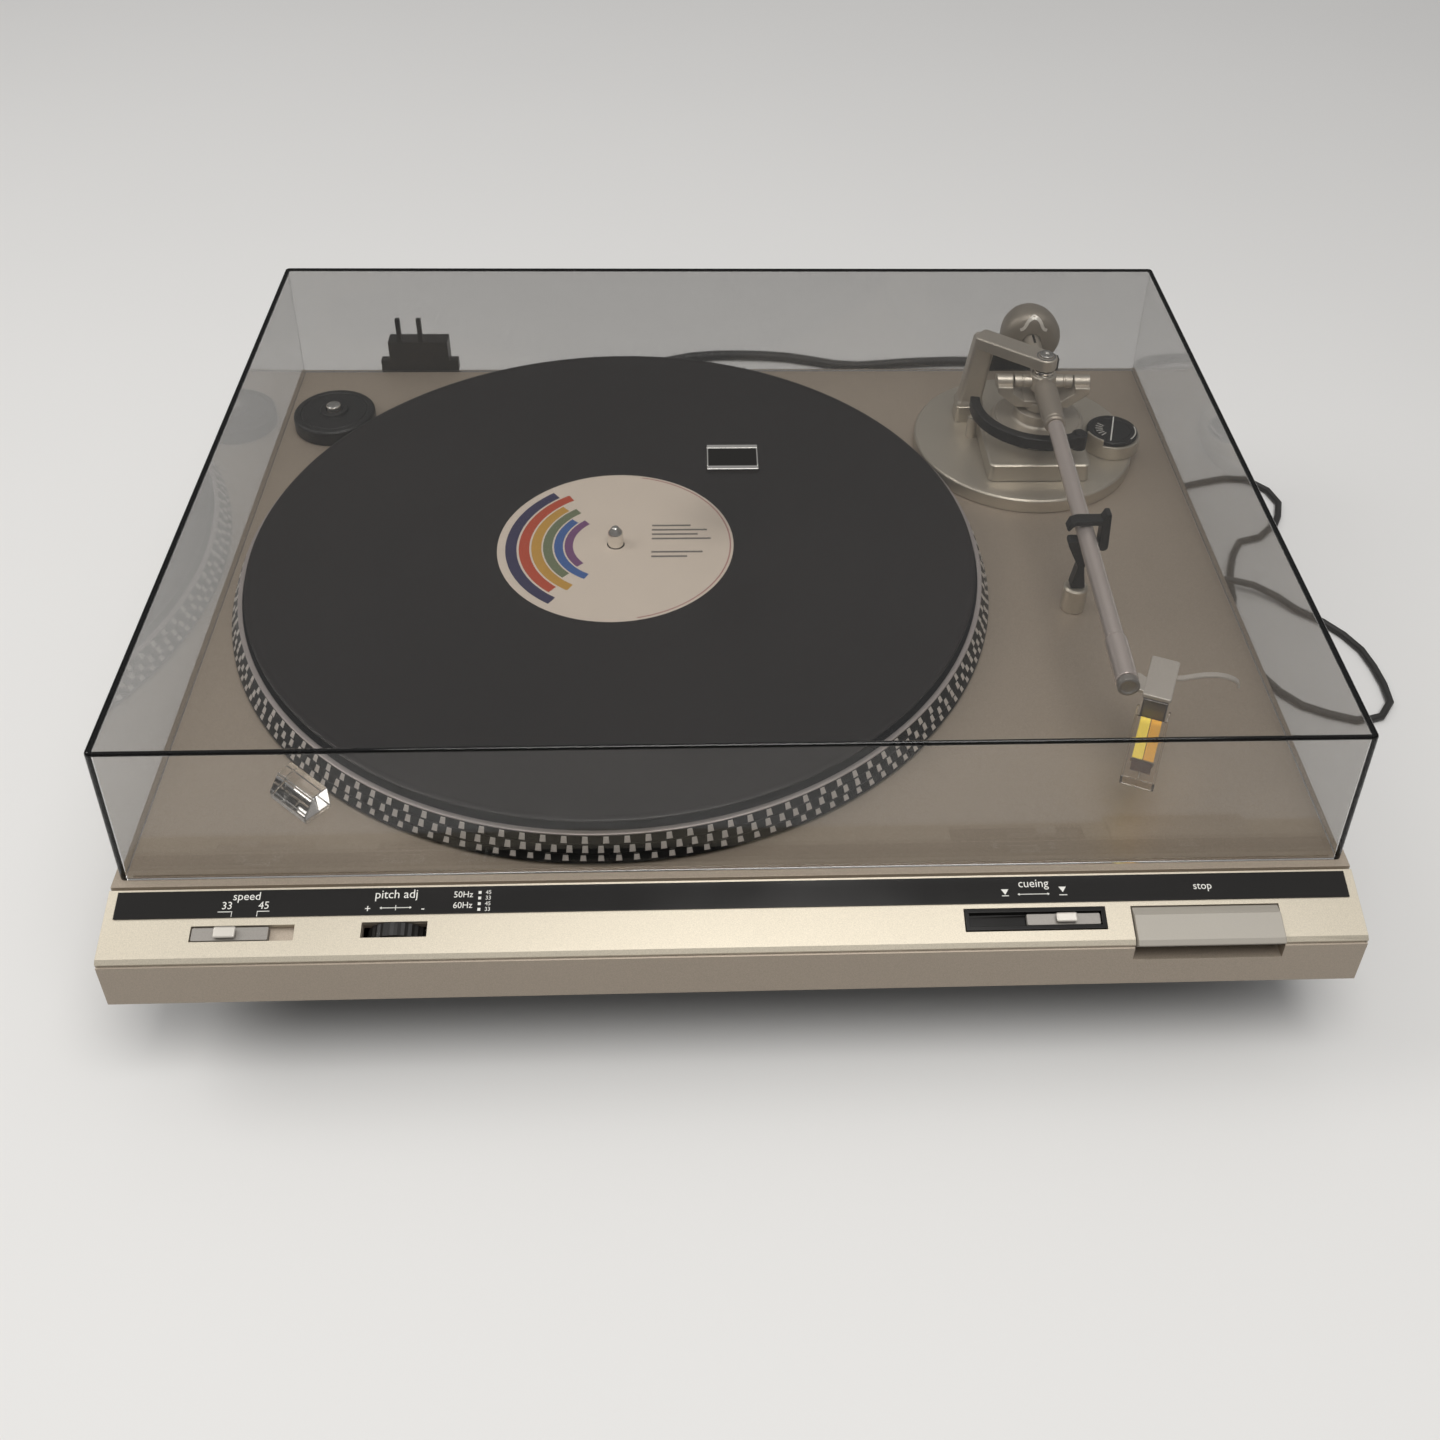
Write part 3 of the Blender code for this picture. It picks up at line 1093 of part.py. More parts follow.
# The tonearm's base: a round plate, a raised block and a pedestal
arm_foot = empty("arm_foot", (PIVOT.x, PIVOT.y, DECK_Z))
arm_base = turned("arm_base", [
    (0, BASE_H), (BASE_R - BASE_EDGE, BASE_H), (BASE_R, BASE_H - BASE_EDGE), (BASE_R, GAP), (0, GAP),
], CHAMPAGNE, 56)
arm_base.data.transform(Matrix.Translation((-PIVOT_X_FROM_BASE, -PIVOT_Y_FROM_BASE, 0)))
riser_left = RISER_CX - RISER_W / 2
riser_back = RISER_FRONT + RISER_D
LIFTER_R = (riser_left - GUIDE_CLEAR - LIFTER_GUIDE_R) / math.cos(LIFTER_START)
rod_x = LIFTER_R * math.cos(LIFTER_START)
rod_y = LIFTER_R * math.sin(LIFTER_START)
guide = cylinder("lifter_guide", LIFTER_GUIDE_R, BASE_H / 2, LIFTER_GUIDE_TOP, rod_x, rod_y, steps=16,
                 cutter=True)
guide_hole = cylinder("guide_hole", LIFTER_ROD_R + GAP, GUIDE_FLOOR, LIFTER_GUIDE_TOP + CUT_OVER, rod_x, rod_y,
                      steps=16, cutter=True)
join(arm_base, guide)
cut(arm_base, guide_hole)
arm_riser = box("arm_riser", (riser_left, RISER_FRONT, BASE_H + GAP),
                (riser_left + RISER_W, riser_back, RISER_TOP), CHAMPAGNE, RISER_EDGE_R)
arm_pedestal = turned("arm_pedestal", [
    (0, PEDESTAL_TOP), (PEDESTAL_NECK_R, PEDESTAL_TOP), (PEDESTAL_NECK_R, PEDESTAL_RING_TOP),
    (PEDESTAL_R, PEDESTAL_RING_TOP), (PEDESTAL_R, RISER_TOP + GAP), (0, RISER_TOP + GAP),
], ALLOY, 36)
for piece in (arm_base, guide, guide_hole, arm_riser, arm_pedestal):
    place(piece, parent=arm_foot)

# The bracket that holds the top of the arm's bearing, with its screw
leg_middle = Vector((BRACKET_BACK_X, riser_back + BRACKET_CLEAR + BRACKET_LEG_D / 2, 0))
away = -leg_middle.normalized()
across = Vector((-away.y, away.x, 0))
bar_ends = (leg_middle - away * BRACKET_BAR_W / 2, away * BRACKET_BAR_W / 2)
half_bar = across * BRACKET_BAR_W / 2
corners = [bar_ends[0] - half_bar, bar_ends[1] - half_bar, bar_ends[1] + half_bar, bar_ends[0] + half_bar]
arm_bracket = outline("arm_bracket", [(c.x, c.y) for c in corners], BRACKET_BAR_T, "Z", ALLOY,
                      middle=BRACKET_BAR_TOP - BRACKET_BAR_T / 2)
half_leg = Vector((BRACKET_LEG_W / 2, BRACKET_LEG_D / 2, 0))
leg = box("bracket_leg", leg_middle - half_leg + Vector((0, 0, BASE_H + GAP)),
          leg_middle + half_leg + Vector((0, 0, BRACKET_BAR_TOP - BRACKET_BAR_T / 2)), cutter=True)
cup_top = CUP_LOW + CUP_T
screw = turned("pivot_screw", [
    (0, SCREW_HEAD_TOP), (SCREW_R, SCREW_HEAD_TOP), (SCREW_R, BRACKET_BAR_TOP - BRACKET_BAR_T / 2),
    (SCREW_TIP_R, BRACKET_BAR_TOP - BRACKET_BAR_T / 2), (SCREW_TIP_R, cup_top + GAP), (0, cup_top + GAP),
], steps=20, cutter=True)
join(arm_bracket, leg, screw)
for piece in (arm_bracket, leg, screw):
    place(piece, parent=arm_foot)

# The lifter: a curved bar on a rod, with a knob at its other end
arc = [LIFTER_START + LIFTER_SWEEP * i / LIFTER_STEPS for i in range(LIFTER_STEPS + 1)]
r_out = LIFTER_R + LIFTER_W / 2
r_in = LIFTER_R - LIFTER_W / 2
lifter_bar = outline("lifter_bar", [(r_out * math.cos(a), r_out * math.sin(a)) for a in arc]
                     + [(r_in * math.cos(a), r_in * math.sin(a)) for a in reversed(arc)],
                     LIFTER_TOP - LIFTER_LOW, "Z", BLACK_PLASTIC, middle=(LIFTER_TOP + LIFTER_LOW) / 2)
rod_low = GUIDE_FLOOR + GAP
lifter_rod = cylinder("lifter_rod", LIFTER_ROD_R, rod_low, (LIFTER_TOP + LIFTER_LOW) / 2, rod_x, rod_y,
                      steps=16, cutter=True)
knob_x = LIFTER_R * math.cos(arc[-1])
knob_y = LIFTER_R * math.sin(arc[-1])
lifter_knob = cylinder("lifter_knob", LIFTER_KNOB_R, LIFTER_TOP + KNOB_OVER - LIFTER_KNOB_H,
                       LIFTER_TOP + KNOB_OVER, knob_x, knob_y, steps=20, cutter=True)
join(lifter_bar, lifter_rod, lifter_knob)
for piece in (lifter_bar, lifter_rod, lifter_knob):
    place(piece, parent=arm_foot)

# The yoke turns with the arm; its ends are the outer parts of the gimbal
swing = empty("arm_swing_axis", (PIVOT.x, PIVOT.y, DECK_Z))
swing.rotation_euler = (0, 0, -ARM_REST_ANGLE)
slot_out = GIMBAL_SLOT_X + GIMBAL_SLOT_W / 2
slot_in = GIMBAL_SLOT_X - GIMBAL_SLOT_W / 2
half_low = YOKE_LOW_W / 2
half_top = YOKE_TOP_W / 2
shoulder = ARM_AXIS_H - GIMBAL_R
yoke = outline("yoke", [
    (-half_low, YOKE_LOW), (half_low, YOKE_LOW), (half_top, shoulder), (half_top, ARM_AXIS_H),
    (slot_out, ARM_AXIS_H), (slot_out, shoulder), (half_low - (YOKE_MID - YOKE_LOW), YOKE_MID),
    (-half_low + (YOKE_MID - YOKE_LOW), YOKE_MID),
    (-slot_out, shoulder), (-slot_out, ARM_AXIS_H), (-half_top, ARM_AXIS_H), (-half_top, shoulder),
], YOKE_D, "Y", ALLOY)
ends = []
for side in (-1, 1):
    end = turned("gimbal_left" if side < 0 else "gimbal_right", [
        (0, GIMBAL_W / 2), (GIMBAL_R, GIMBAL_W / 2), (GIMBAL_R, slot_out), (0, slot_out),
    ], steps=20, cutter=True)
    end.data.transform(Matrix.Translation((0, 0, ARM_AXIS_H)) @ Matrix.Rotation(side * math.pi / 2, 4, "Y"))
    ends.append(end)
pillar = turned("pillar", [
    (0, cup_top), (CUP_R, cup_top), (CUP_R, CUP_LOW), (PILLAR_R, CUP_LOW), (PILLAR_R, YOKE_MID - CUP_T),
    (0, YOKE_MID - CUP_T),
], steps=20, cutter=True)
yoke_neck = cylinder("yoke_neck", YOKE_NECK_R, PEDESTAL_TOP + GAP, (YOKE_LOW + YOKE_MID) / 2, steps=20,
                     cutter=True)
join(yoke, *ends, pillar, yoke_neck)
for piece in (yoke, *ends, pillar, yoke_neck):
    place(piece, parent=swing)

# The gimbal block carries the arm; it tips on the yoke's ends
lift = empty("arm_lift_axis", (0, 0, ARM_AXIS_H), swing)
gimbal_block = turned("gimbal_block", [
    (0, slot_in), (GIMBAL_R, slot_in), (GIMBAL_R, -slot_in), (0, -slot_in),
], ALLOY, 20)
gimbal_block.data.transform(Matrix.Rotation(math.pi / 2, 4, "Y"))
block_core = cylinder("block_core", BLOCK_R, -BLOCK_DOWN, BLOCK_UP, steps=20, cutter=True)
collar = turned("arm_collar", [
    (0, COLLAR_END), (COLLAR_R, COLLAR_END), (COLLAR_R, BLOCK_R / 2), (0, BLOCK_R / 2),
], steps=20, cutter=True)
collar.data.transform(Matrix.Rotation(math.pi / 2, 4, "X"))
stub = turned("arm_stub", [
    (0, STUB_END), (STUB_R, STUB_END), (STUB_R, BLOCK_R / 2), (0, BLOCK_R / 2),
], steps=20, cutter=True)
stub.data.transform(Matrix.Rotation(-math.pi / 2, 4, "X"))
pillar_hole = cylinder("pillar_hole", PILLAR_HOLE_R, -BLOCK_R - CUT_OVER, BLOCK_R + CUT_OVER, steps=20,
                       cutter=True)
join(gimbal_block, block_core, collar, stub)
cut(gimbal_block, pillar_hole)
for piece in (gimbal_block, block_core, collar, stub, pillar_hole):
    place(piece, parent=lift)

arm_tube = turned("arm_tube", [
    (0, TUBE_END), (SLEEVE_R, TUBE_END), (SLEEVE_R, SLEEVE_START), (TUBE_R, SLEEVE_START - (SLEEVE_R - TUBE_R)),
    (TUBE_R, COLLAR_END + GAP), (0, COLLAR_END + GAP),
], BRIGHT, 24)
arm_tube.data.transform(Matrix.Rotation(math.pi / 2, 4, "X"))
place(arm_tube, parent=lift)

nose = [(WEIGHT_R * math.cos(math.pi / 2 * k), WEIGHT_NOSE * math.sin(math.pi / 2 * k))
        for k in WEIGHT_NOSE_SHARES]
weight_back = WEIGHT_FRONT + WEIGHT_LENGTH
bore_end = WEIGHT_FRONT + WEIGHT_BORE_DEPTH
counterweight = turned("counterweight", [
    (0, weight_back), *[(r, weight_back - WEIGHT_NOSE + h) for r, h in reversed(nose)],
    (WEIGHT_R, WEIGHT_FRONT), (STUB_R + GAP, WEIGHT_FRONT), (STUB_R + GAP, bore_end), (0, bore_end),
], CHAMPAGNE, 36)
counterweight.data.transform(Matrix.Rotation(-math.pi / 2, 4, "X"))
place(counterweight, parent=lift)

# The head: its own frame, with forward along -Y
head = empty("head_axis", (HEAD_SIDE, -HEAD_ALONG, 0), lift)
head.rotation_euler = (0, 0, -HEAD_ANGLE)
turn = Matrix.Rotation(-HEAD_ANGLE, 3, "Z")
plate_low = PLATE_TOP - PLATE_T
headshell = box("headshell", (-PLATE_W / 2, -PLATE_L / 2, plate_low), (PLATE_W / 2, PLATE_L / 2, PLATE_TOP),
                ALLOY)
to_head = turn.transposed()


def arm_point(x, y):
    """A point of the arm's own plane, in the head's frame."""
    p = to_head @ Vector((x - HEAD_SIDE, y + HEAD_ALONG, 0))
    return (p.x, p.y)


inset = PLATE_W / 4
neck_z = (PLATE_TOP + plate_low) / 2
neck = outline("head_neck", [
    arm_point(-NECK_CAP_R / 2, -TUBE_END - GAP), arm_point(-NECK_CAP_R / 2, -TUBE_END - GAP - NECK_CAP_L),
    (-PLATE_W / 2 + inset, -PLATE_L / 2 + inset / 2), (-PLATE_W / 2 + inset, PLATE_L / 2 - inset),
    arm_point(SLEEVE_R + NECK_SIDE, -SLEEVE_START - NECK_BACK),
    arm_point(SLEEVE_R + GAP, -SLEEVE_START - NECK_BACK),
    arm_point(SLEEVE_R + GAP, -TUBE_END - GAP),
], NECK_T, "Z", middle=neck_z, cutter=True)
neck_cap = turned("neck_cap", [
    (0, NECK_CAP_L), (NECK_CAP_R, NECK_CAP_L), (NECK_CAP_R, 0), (0, 0),
], steps=20, cutter=True)
cap_x, cap_y = arm_point(0, -TUBE_END - GAP)
neck_cap.data.transform(Matrix.Translation((cap_x, cap_y, 0)) @ Matrix.Rotation(HEAD_ANGLE, 4, "Z")
                        @ Matrix.Rotation(math.pi / 2, 4, "X"))
join(headshell, neck, neck_cap)
cartridge = box("cartridge", (-CART_W / 2, -CART_FRONT, CART_LOW), (CART_W / 2, -CART_BACK, plate_low - GAP),
                CART_GREY, CART_EDGE_R)
lift_z = PLATE_TOP - PLATE_T / 2
lift_root = Vector((PLATE_W / 2 + GAP, -LIFT_ROOT, lift_z))
lift_tip = Vector((LIFT_TIP_SIDE, -LIFT_TIP_ALONG, lift_z + LIFT_RISE))
lift_bend = lift_root + Vector((LIFT_R * 4, 0, 0))
finger_lift = rod("finger_lift", [
    lift_root, lift_root.lerp(lift_bend, 0.5), lift_bend, lift_bend.lerp(lift_tip, 0.5), lift_tip,
    lift_tip + Vector((LIFT_R, 0, -LIFT_R)), lift_tip + Vector((LIFT_R, 0, -LIFT_DROP)),
], LIFT_R, BRIGHT)
stylus = outline("stylus", [
    (-STYLUS_BACK, STYLUS_TOP), (-STYLUS_STEP, STYLUS_TOP), (-STYLUS_FRONT, STYLUS_FRONT_TOP),
    (-STYLUS_FRONT, STYLUS_NOSE_LOW), (-STYLUS_KEEL, STYLUS_KEEL_LOW), (-STYLUS_BACK, STYLUS_BACK_LOW),
], STYLUS_W, "X", YELLOW)
cantilever = rod("cantilever", [
    (0, -CANT_ROOT, (STYLUS_FRONT_TOP + STYLUS_NOSE_LOW) / 2), (0, -CANT_TIP + CANT_R, TIP_Z + 3 * CANT_R),
    (0, -CANT_TIP, TIP_Z),
], CANT_R, resolution=1, cutter=True)
join(stylus, cantilever)
slope = (GUARD_BACK_TOP - GUARD_FRONT_TOP) / (GUARD_FRONT - GUARD_BACK)
ear = [(-GUARD_PIVOT + GUARD_EAR_R * math.sin(a), GUARD_PIVOT_Z + GUARD_EAR_R * math.cos(a))
       for a in (math.pi * k / 6 for k in range(7))]
stylus_guard = outline("stylus_guard", [
    (-GUARD_BACK, GUARD_BACK_LOW), (-GUARD_FRONT, GUARD_LOW), (-GUARD_FRONT, GUARD_FRONT_TOP),
    (-GUARD_BACK, GUARD_BACK_TOP), *ear,
], GUARD_W, "X", CLEAR)
guard_hollow = outline("guard_hollow", [
    (GUARD_BACK, GUARD_LOW - GUARD_BACK), (GUARD_BACK, GUARD_BACK_TOP + GUARD_BACK),
    (-GUARD_BACK, GUARD_BACK_TOP + GUARD_BACK), (-GUARD_BACK, GUARD_BACK_TOP - GUARD_T),
    (-GUARD_FRONT + GUARD_T, GUARD_FRONT_TOP + slope * GUARD_T - GUARD_T),
    (-GUARD_FRONT + GUARD_T, GUARD_LOW - GUARD_BACK),
], GUARD_W - 2 * GUARD_T, "X", cutter=True)
cut(stylus_guard, guard_hollow)
for piece in (headshell, neck, neck_cap, cartridge, finger_lift, stylus, cantilever, stylus_guard,
              guard_hollow):
    place(piece, parent=head)

# The anti-skating dial in its cup
dial_x = riser_left + RISER_W + DIAL_CLEAR + HOUSING_R
cup_floor = DIAL_TOP - DIAL_T - GAP
antiskate_housing = turned("antiskate_housing", [
    (0, cup_floor), (HOUSING_R, cup_floor), (HOUSING_R, BASE_H + GAP), (0, BASE_H + GAP),
], CHAMPAGNE, 32)
rim_arc = [HOUSING_START + HOUSING_SWEEP * i / 8 for i in range(9)]
rim_in = HOUSING_R - HOUSING_WALL
housing_rim = outline("housing_rim", [(HOUSING_R * math.cos(a), HOUSING_R * math.sin(a)) for a in rim_arc]
                      + [(rim_in * math.cos(a), rim_in * math.sin(a)) for a in reversed(rim_arc)],
                      HOUSING_RIM_TOP - cup_floor + DIAL_T, "Z",
                      middle=(HOUSING_RIM_TOP + cup_floor - DIAL_T) / 2, cutter=True)
pin_hole = cylinder("pin_hole", DIAL_PIN_R + GAP, cup_floor - 2 * DIAL_T, cup_floor + CUT_OVER, steps=16,
                    cutter=True)
join(antiskate_housing, housing_rim)
cut(antiskate_housing, pin_hole)
antiskate_dial = turned("antiskate_dial", [
    (0, DIAL_TOP), (DIAL_R, DIAL_TOP), (DIAL_R, DIAL_TOP - DIAL_T), (DIAL_PIN_R, DIAL_TOP - DIAL_T),
    (DIAL_PIN_R, cup_floor - 2 * DIAL_T + GAP), (0, cup_floor - 2 * DIAL_T + GAP),
], BLACK_PLASTIC, 32)
for piece in (antiskate_housing, housing_rim, pin_hole, antiskate_dial):
    place(piece, (dial_x, DIAL_Y, 0), parent=arm_foot)

# The arm rest: a post, a cradle and a clip over the arm
rest_x = PIVOT.x - REST_ALONG * math.tan(ARM_REST_ANGLE) + REST_SIDE
rest = empty("rest_axis", (rest_x, PIVOT.y - REST_ALONG, DECK_Z))
rest_post = turned("rest_post", [(0, POST_H), (POST_R, POST_H), (POST_R, GAP), (0, GAP)], CHAMPAGNE, 24)
cradle_low = REST_TOP_Z - REST_LIP
rest_stem = outline("rest_stem", [
    (-REST_FOOT_W / 2, POST_H + GAP), (REST_FOOT_W / 2, POST_H + GAP), (REST_WAIST_W / 2, REST_WAIST_Z),
    (REST_TOP_RIGHT, cradle_low), (REST_TOP_RIGHT, REST_TOP_Z), (-REST_TOP_LEFT, REST_TOP_Z),
    (-REST_TOP_LEFT, cradle_low), (-REST_WAIST_W / 2, REST_WAIST_Z),
], REST_D, "Y", BLACK_PLASTIC)
root = [(CLIP_ROOT_R * math.cos(a), CLIP_ROOT_R * math.sin(a))
        for a in (math.pi * (1 + k / 6) for k in range(7))]
band_low = CLIP_INNER_TOP - CLIP_PIVOT_Z
band_top = band_low + CLIP_BAND
tab_top = CLIP_TAB_TOP - CLIP_PIVOT_Z
tip = -CLIP_PIVOT - CLIP_TIP
rest_clip = outline("rest_clip", [
    *root, (CLIP_ROOT_R / 2, tab_top), (-CLIP_ROOT_R / 2, tab_top), (-CLIP_ROOT_R, band_top), (tip, band_top),
    (tip, band_low), (-CLIP_ROOT_R, band_low),
], REST_D, "Y", BLACK_PLASTIC)
place(rest_post, parent=rest)
place(rest_stem, parent=rest)
place(rest_clip, (CLIP_PIVOT, 0, CLIP_PIVOT_Z), parent=rest)

# The strobe prism and the single-record adapter on the deck
prism_in = PLATTER_RIM_R + PRISM_CLEAR
prism_out = prism_in + PRISM_D
strobe_prism = outline("strobe_prism", [
    (prism_in, GAP), (prism_out, GAP), (prism_out, PRISM_FOOT_H),
    (prism_in + PRISM_D * PRISM_TOP_SHARE, PRISM_H), (prism_in, PRISM_H),
], PRISM_W, "X", CLEAR)
place(strobe_prism, (SPINDLE_X, SPINDLE_Y, DECK_Z), (0, 0, PRISM_AZIMUTH - math.pi / 2))
adapter_45 = turned("adapter_45", [
    (PEG_R + GAP, ADAPTER_H + ADAPTER_HUB_H), (ADAPTER_HUB_R, ADAPTER_H + ADAPTER_HUB_H),
    (ADAPTER_HUB_R, ADAPTER_H), (ADAPTER_R - ADAPTER_EDGE, ADAPTER_H), (ADAPTER_R, ADAPTER_H - ADAPTER_EDGE),
    (ADAPTER_R, GAP), (PEG_R + GAP, GAP),
], BLACK_PLASTIC, 32)
place(adapter_45, (adapter_x, adapter_y, DECK_Z))

# The dust cover, open below, with its badge and the moving halves of its hinges
hinge_y = CASE_BACK_Y + HINGE_AXIS_BACK
hinge_z = DECK_Z - HINGE_AXIS_DROP
cover_axis = empty("cover_axis", (0, hinge_y, hinge_z))


def leaning_box(name, inset, low_z, high_z, mat=None, cutter=False):
    """A box as wide as the cover less an inset, whose sides lean in."""
    mesh = bpy.data.meshes.new(name)
    bm = bmesh.new()
    bmesh.ops.create_cube(bm, size=2.0)
    for v in bm.verts:
        z = low_z if v.co.z < 0 else high_z
        lean = COVER_DRAFT * (z - COVER_LOW_Z) / COVER_H + inset
        v.co.x = math.copysign(COVER_HALF_W - lean, v.co.x)
        v.co.y = (COVER_FRONT_Y + lean if v.co.y < 0 else COVER_BACK_Y - lean) - hinge_y
        v.co.z = z - hinge_z
    bm.to_mesh(mesh)
    bm.free()
    return add(name, mesh, mat, cutter=cutter)


dust_cover = leaning_box("dust_cover", 0.0, COVER_LOW_Z, COVER_TOP_Z, SMOKED)
soften(dust_cover, COVER_EDGE_R)
cover_inside = leaning_box("cover_inside", COVER_T, COVER_LOW_Z - CUT_OVER, COVER_TOP_Z - COVER_T, cutter=True)
badge_y = SPINDLE_Y + BADGE_BACK - hinge_y
badge_low = COVER_TOP_Z - hinge_z - BADGE_SUNK
badge_recess = box("badge_recess", (-BADGE_W / 2 - GAP, badge_y - BADGE_D / 2 - GAP, badge_low - GAP),
                   (BADGE_W / 2 + GAP, badge_y + BADGE_D / 2 + GAP, badge_low + CUT_OVER), cutter=True)
cut(dust_cover, cover_inside, badge_recess)
cover_badge = box("cover_badge", (-BADGE_W / 2, badge_y - BADGE_D / 2, badge_low),
                  (BADGE_W / 2, badge_y + BADGE_D / 2, badge_low + BADGE_T), BLACK_GLOSS)
for piece in (dust_cover, cover_inside, badge_recess, cover_badge):
    place(piece, parent=cover_axis)

plate_front = COVER_BACK_Y + GAP - hinge_y
holder_low = COVER_LOW_Z - hinge_z
base_top = -HINGE_BASE_TOP_DROP + HINGE_AXIS_DROP
pin_out = KNUCKLE_W / 2 + RUN_GAP + CHEEK_W
for tag, x in (("l", -HINGE_X), ("r", HINGE_X)):
    hinge_holder = box(f"hinge_holder_{tag}", (-HOLDER_W / 2, plate_front, holder_low),
                       (HOLDER_W / 2, plate_front + HOLDER_D, holder_low + HOLDER_H), BLACK_PLASTIC)
    added = [
        box(f"lugs_{tag}", (-HOLDER_W / 2 - HOLDER_LUG_W, plate_front, holder_low),
            (HOLDER_W / 2 + HOLDER_LUG_W, plate_front + HOLDER_D / 2, holder_low + HOLDER_LUG_H), cutter=True),
        box(f"tongue_{tag}", (-KNUCKLE_W / 2, -KNUCKLE_R - TONGUE_AHEAD, 0.0),
            (KNUCKLE_W / 2, 0.0, holder_low + HOLDER_LUG_H), cutter=True),
    ]
    for i, side in enumerate((-1, 1)):
        px = PRONG_SHIFT + side * PRONG_SPACING / 2
        added.append(box(f"prong_{tag}_{i}", (px - PRONG_W / 2, plate_front + GAP, holder_low + GAP),
                         (px + PRONG_W / 2, plate_front + GAP + PRONG_D, PRONG_TOP + HINGE_AXIS_DROP),
                         cutter=True))
    knuckle = turned(f"knuckle_{tag}", [
        (0, pin_out), (HINGE_PIN_R, pin_out), (HINGE_PIN_R, KNUCKLE_W / 2), (KNUCKLE_R, KNUCKLE_W / 2),
        (KNUCKLE_R, -KNUCKLE_W / 2), (HINGE_PIN_R, -KNUCKLE_W / 2), (HINGE_PIN_R, -pin_out), (0, -pin_out),
    ], steps=24, cutter=True)
    knuckle.data.transform(Matrix.Rotation(math.pi / 2, 4, "Y"))
    join(hinge_holder, *added, knuckle)
    for piece in (hinge_holder, *added, knuckle):
        place(piece, (x, 0, 0), parent=cover_axis)
    base_front = CASE_BACK_Y + GAP
    hinge_base = box(f"hinge_base_{tag}", (-HINGE_BASE_W / 2, base_front - hinge_y, base_top - HINGE_BASE_H),
                     (HINGE_BASE_W / 2, base_front - hinge_y + HINGE_BASE_D, base_top), BLACK_PLASTIC)
    cheek_top = [(KNUCKLE_R * math.cos(a), KNUCKLE_R * math.sin(a))
                 for a in (math.pi * k / 8 for k in range(9))]
    cheeks = []
    for i, side in enumerate((-1, 1)):
        middle = side * (KNUCKLE_W / 2 + RUN_GAP + CHEEK_W / 2)
        cheeks.append(outline(f"cheek_{tag}_{i}", [
            *cheek_top, (-KNUCKLE_R, base_top - HINGE_BASE_H / 2), (KNUCKLE_R, base_top - HINGE_BASE_H / 2),
        ], CHEEK_W, "X", middle=middle, cutter=True))
    pin_hole = turned(f"hinge_pin_hole_{tag}", [
        (0, pin_out + CUT_OVER), (HINGE_PIN_R + GAP, pin_out + CUT_OVER),
        (HINGE_PIN_R + GAP, -pin_out - CUT_OVER), (0, -pin_out - CUT_OVER),
    ], steps=24, cutter=True)
    pin_hole.data.transform(Matrix.Rotation(math.pi / 2, 4, "Y"))
    join(hinge_base, *cheeks)
    cut(hinge_base, pin_hole)
    for piece in (hinge_base, *cheeks, pin_hole):
        place(piece, (x, hinge_y, hinge_z))


# The leads: a tapered relief at the back wall, a lead, its coiled length and its plug
def relief(name, x, share):
    """A ribbed, tapered sleeve on the back wall, pointing to the back."""
    root_r = RELIEF_FLANGE_R * share * RELIEF_ROOT_SHARE
    end_r = root_r * RELIEF_END_SHARE
    length = RELIEF_L * share
    profile = [(0, length)]
    body = length - RELIEF_FLANGE_T
    for i in range(RELIEF_RIBS, 0, -1):
        for part, rib in ((0.0, 0.0), (RIB_SHARE, 0.0), (RIB_SHARE, RELIEF_RIB)):
            along = (i - part) / RELIEF_RIBS
            profile.append((root_r + (end_r - root_r) * along + rib * share, RELIEF_FLANGE_T + body * along))
        along = (i - 1) / RELIEF_RIBS
        profile.append((root_r + (end_r - root_r) * along + RELIEF_RIB * share, RELIEF_FLANGE_T + body * along))
    profile += [(RELIEF_FLANGE_R * share, RELIEF_FLANGE_T), (RELIEF_FLANGE_R * share, 0), (0, 0)]
    obj = turned(name, profile, CORD_BLACK, 14)
    obj.data.transform(Matrix.Rotation(-math.pi / 2, 4, "X"))
    place(obj, (x, CASE_BACK_Y + GAP, LEAD_H))
    return CASE_BACK_Y + GAP + length


def coil_points(centre, outer, pitch, turns, radius, start):
    """A flat coil: in along the table, up a layer at its middle, and out again above, half a turn further."""
    points = []
    inner = outer - pitch * turns
    steps_in = COIL_POINTS * turns
    half = COIL_POINTS // 2
    for i in range(2 * steps_in + half + 1):
        angle = start + 2 * math.pi * i / COIL_POINTS
        into = min(max(i - steps_in, 0), half)
        share = into / half
        if i <= steps_in:
            r = outer - pitch * i / COIL_POINTS
        elif i <= steps_in + half:
            r = inner - pitch * min(into, half - into) / COIL_POINTS
        else:
            r = inner + pitch * (i - steps_in - half) / COIL_POINTS
        z = radius + pitch * (3 - 2 * share) * share ** 2
        points.append(Vector((centre[0] + r * math.cos(angle), centre[1] + r * math.sin(angle), z)))
    return points


def drop(x, y_from, y_to, z_to):
    """Points of a lead that leaves the wall level and lies down on the table."""
    fall = LEAD_H - z_to
    turn_angle = 2 * math.atan2(fall, y_to - y_from)
    bend = (y_to - y_from) / (2 * math.sin(turn_angle))
    out = []
    for k in range(6):
        a = turn_angle * k / 5
        out.append(Vector((x, y_from + bend * math.sin(a), LEAD_H - bend * (1 - math.cos(a)))))
    for k in range(4, -1, -1):
        a = turn_angle * k / 5
        out.append(Vector((x, y_to - bend * math.sin(a), z_to + bend * (1 - math.cos(a)))))
    return out


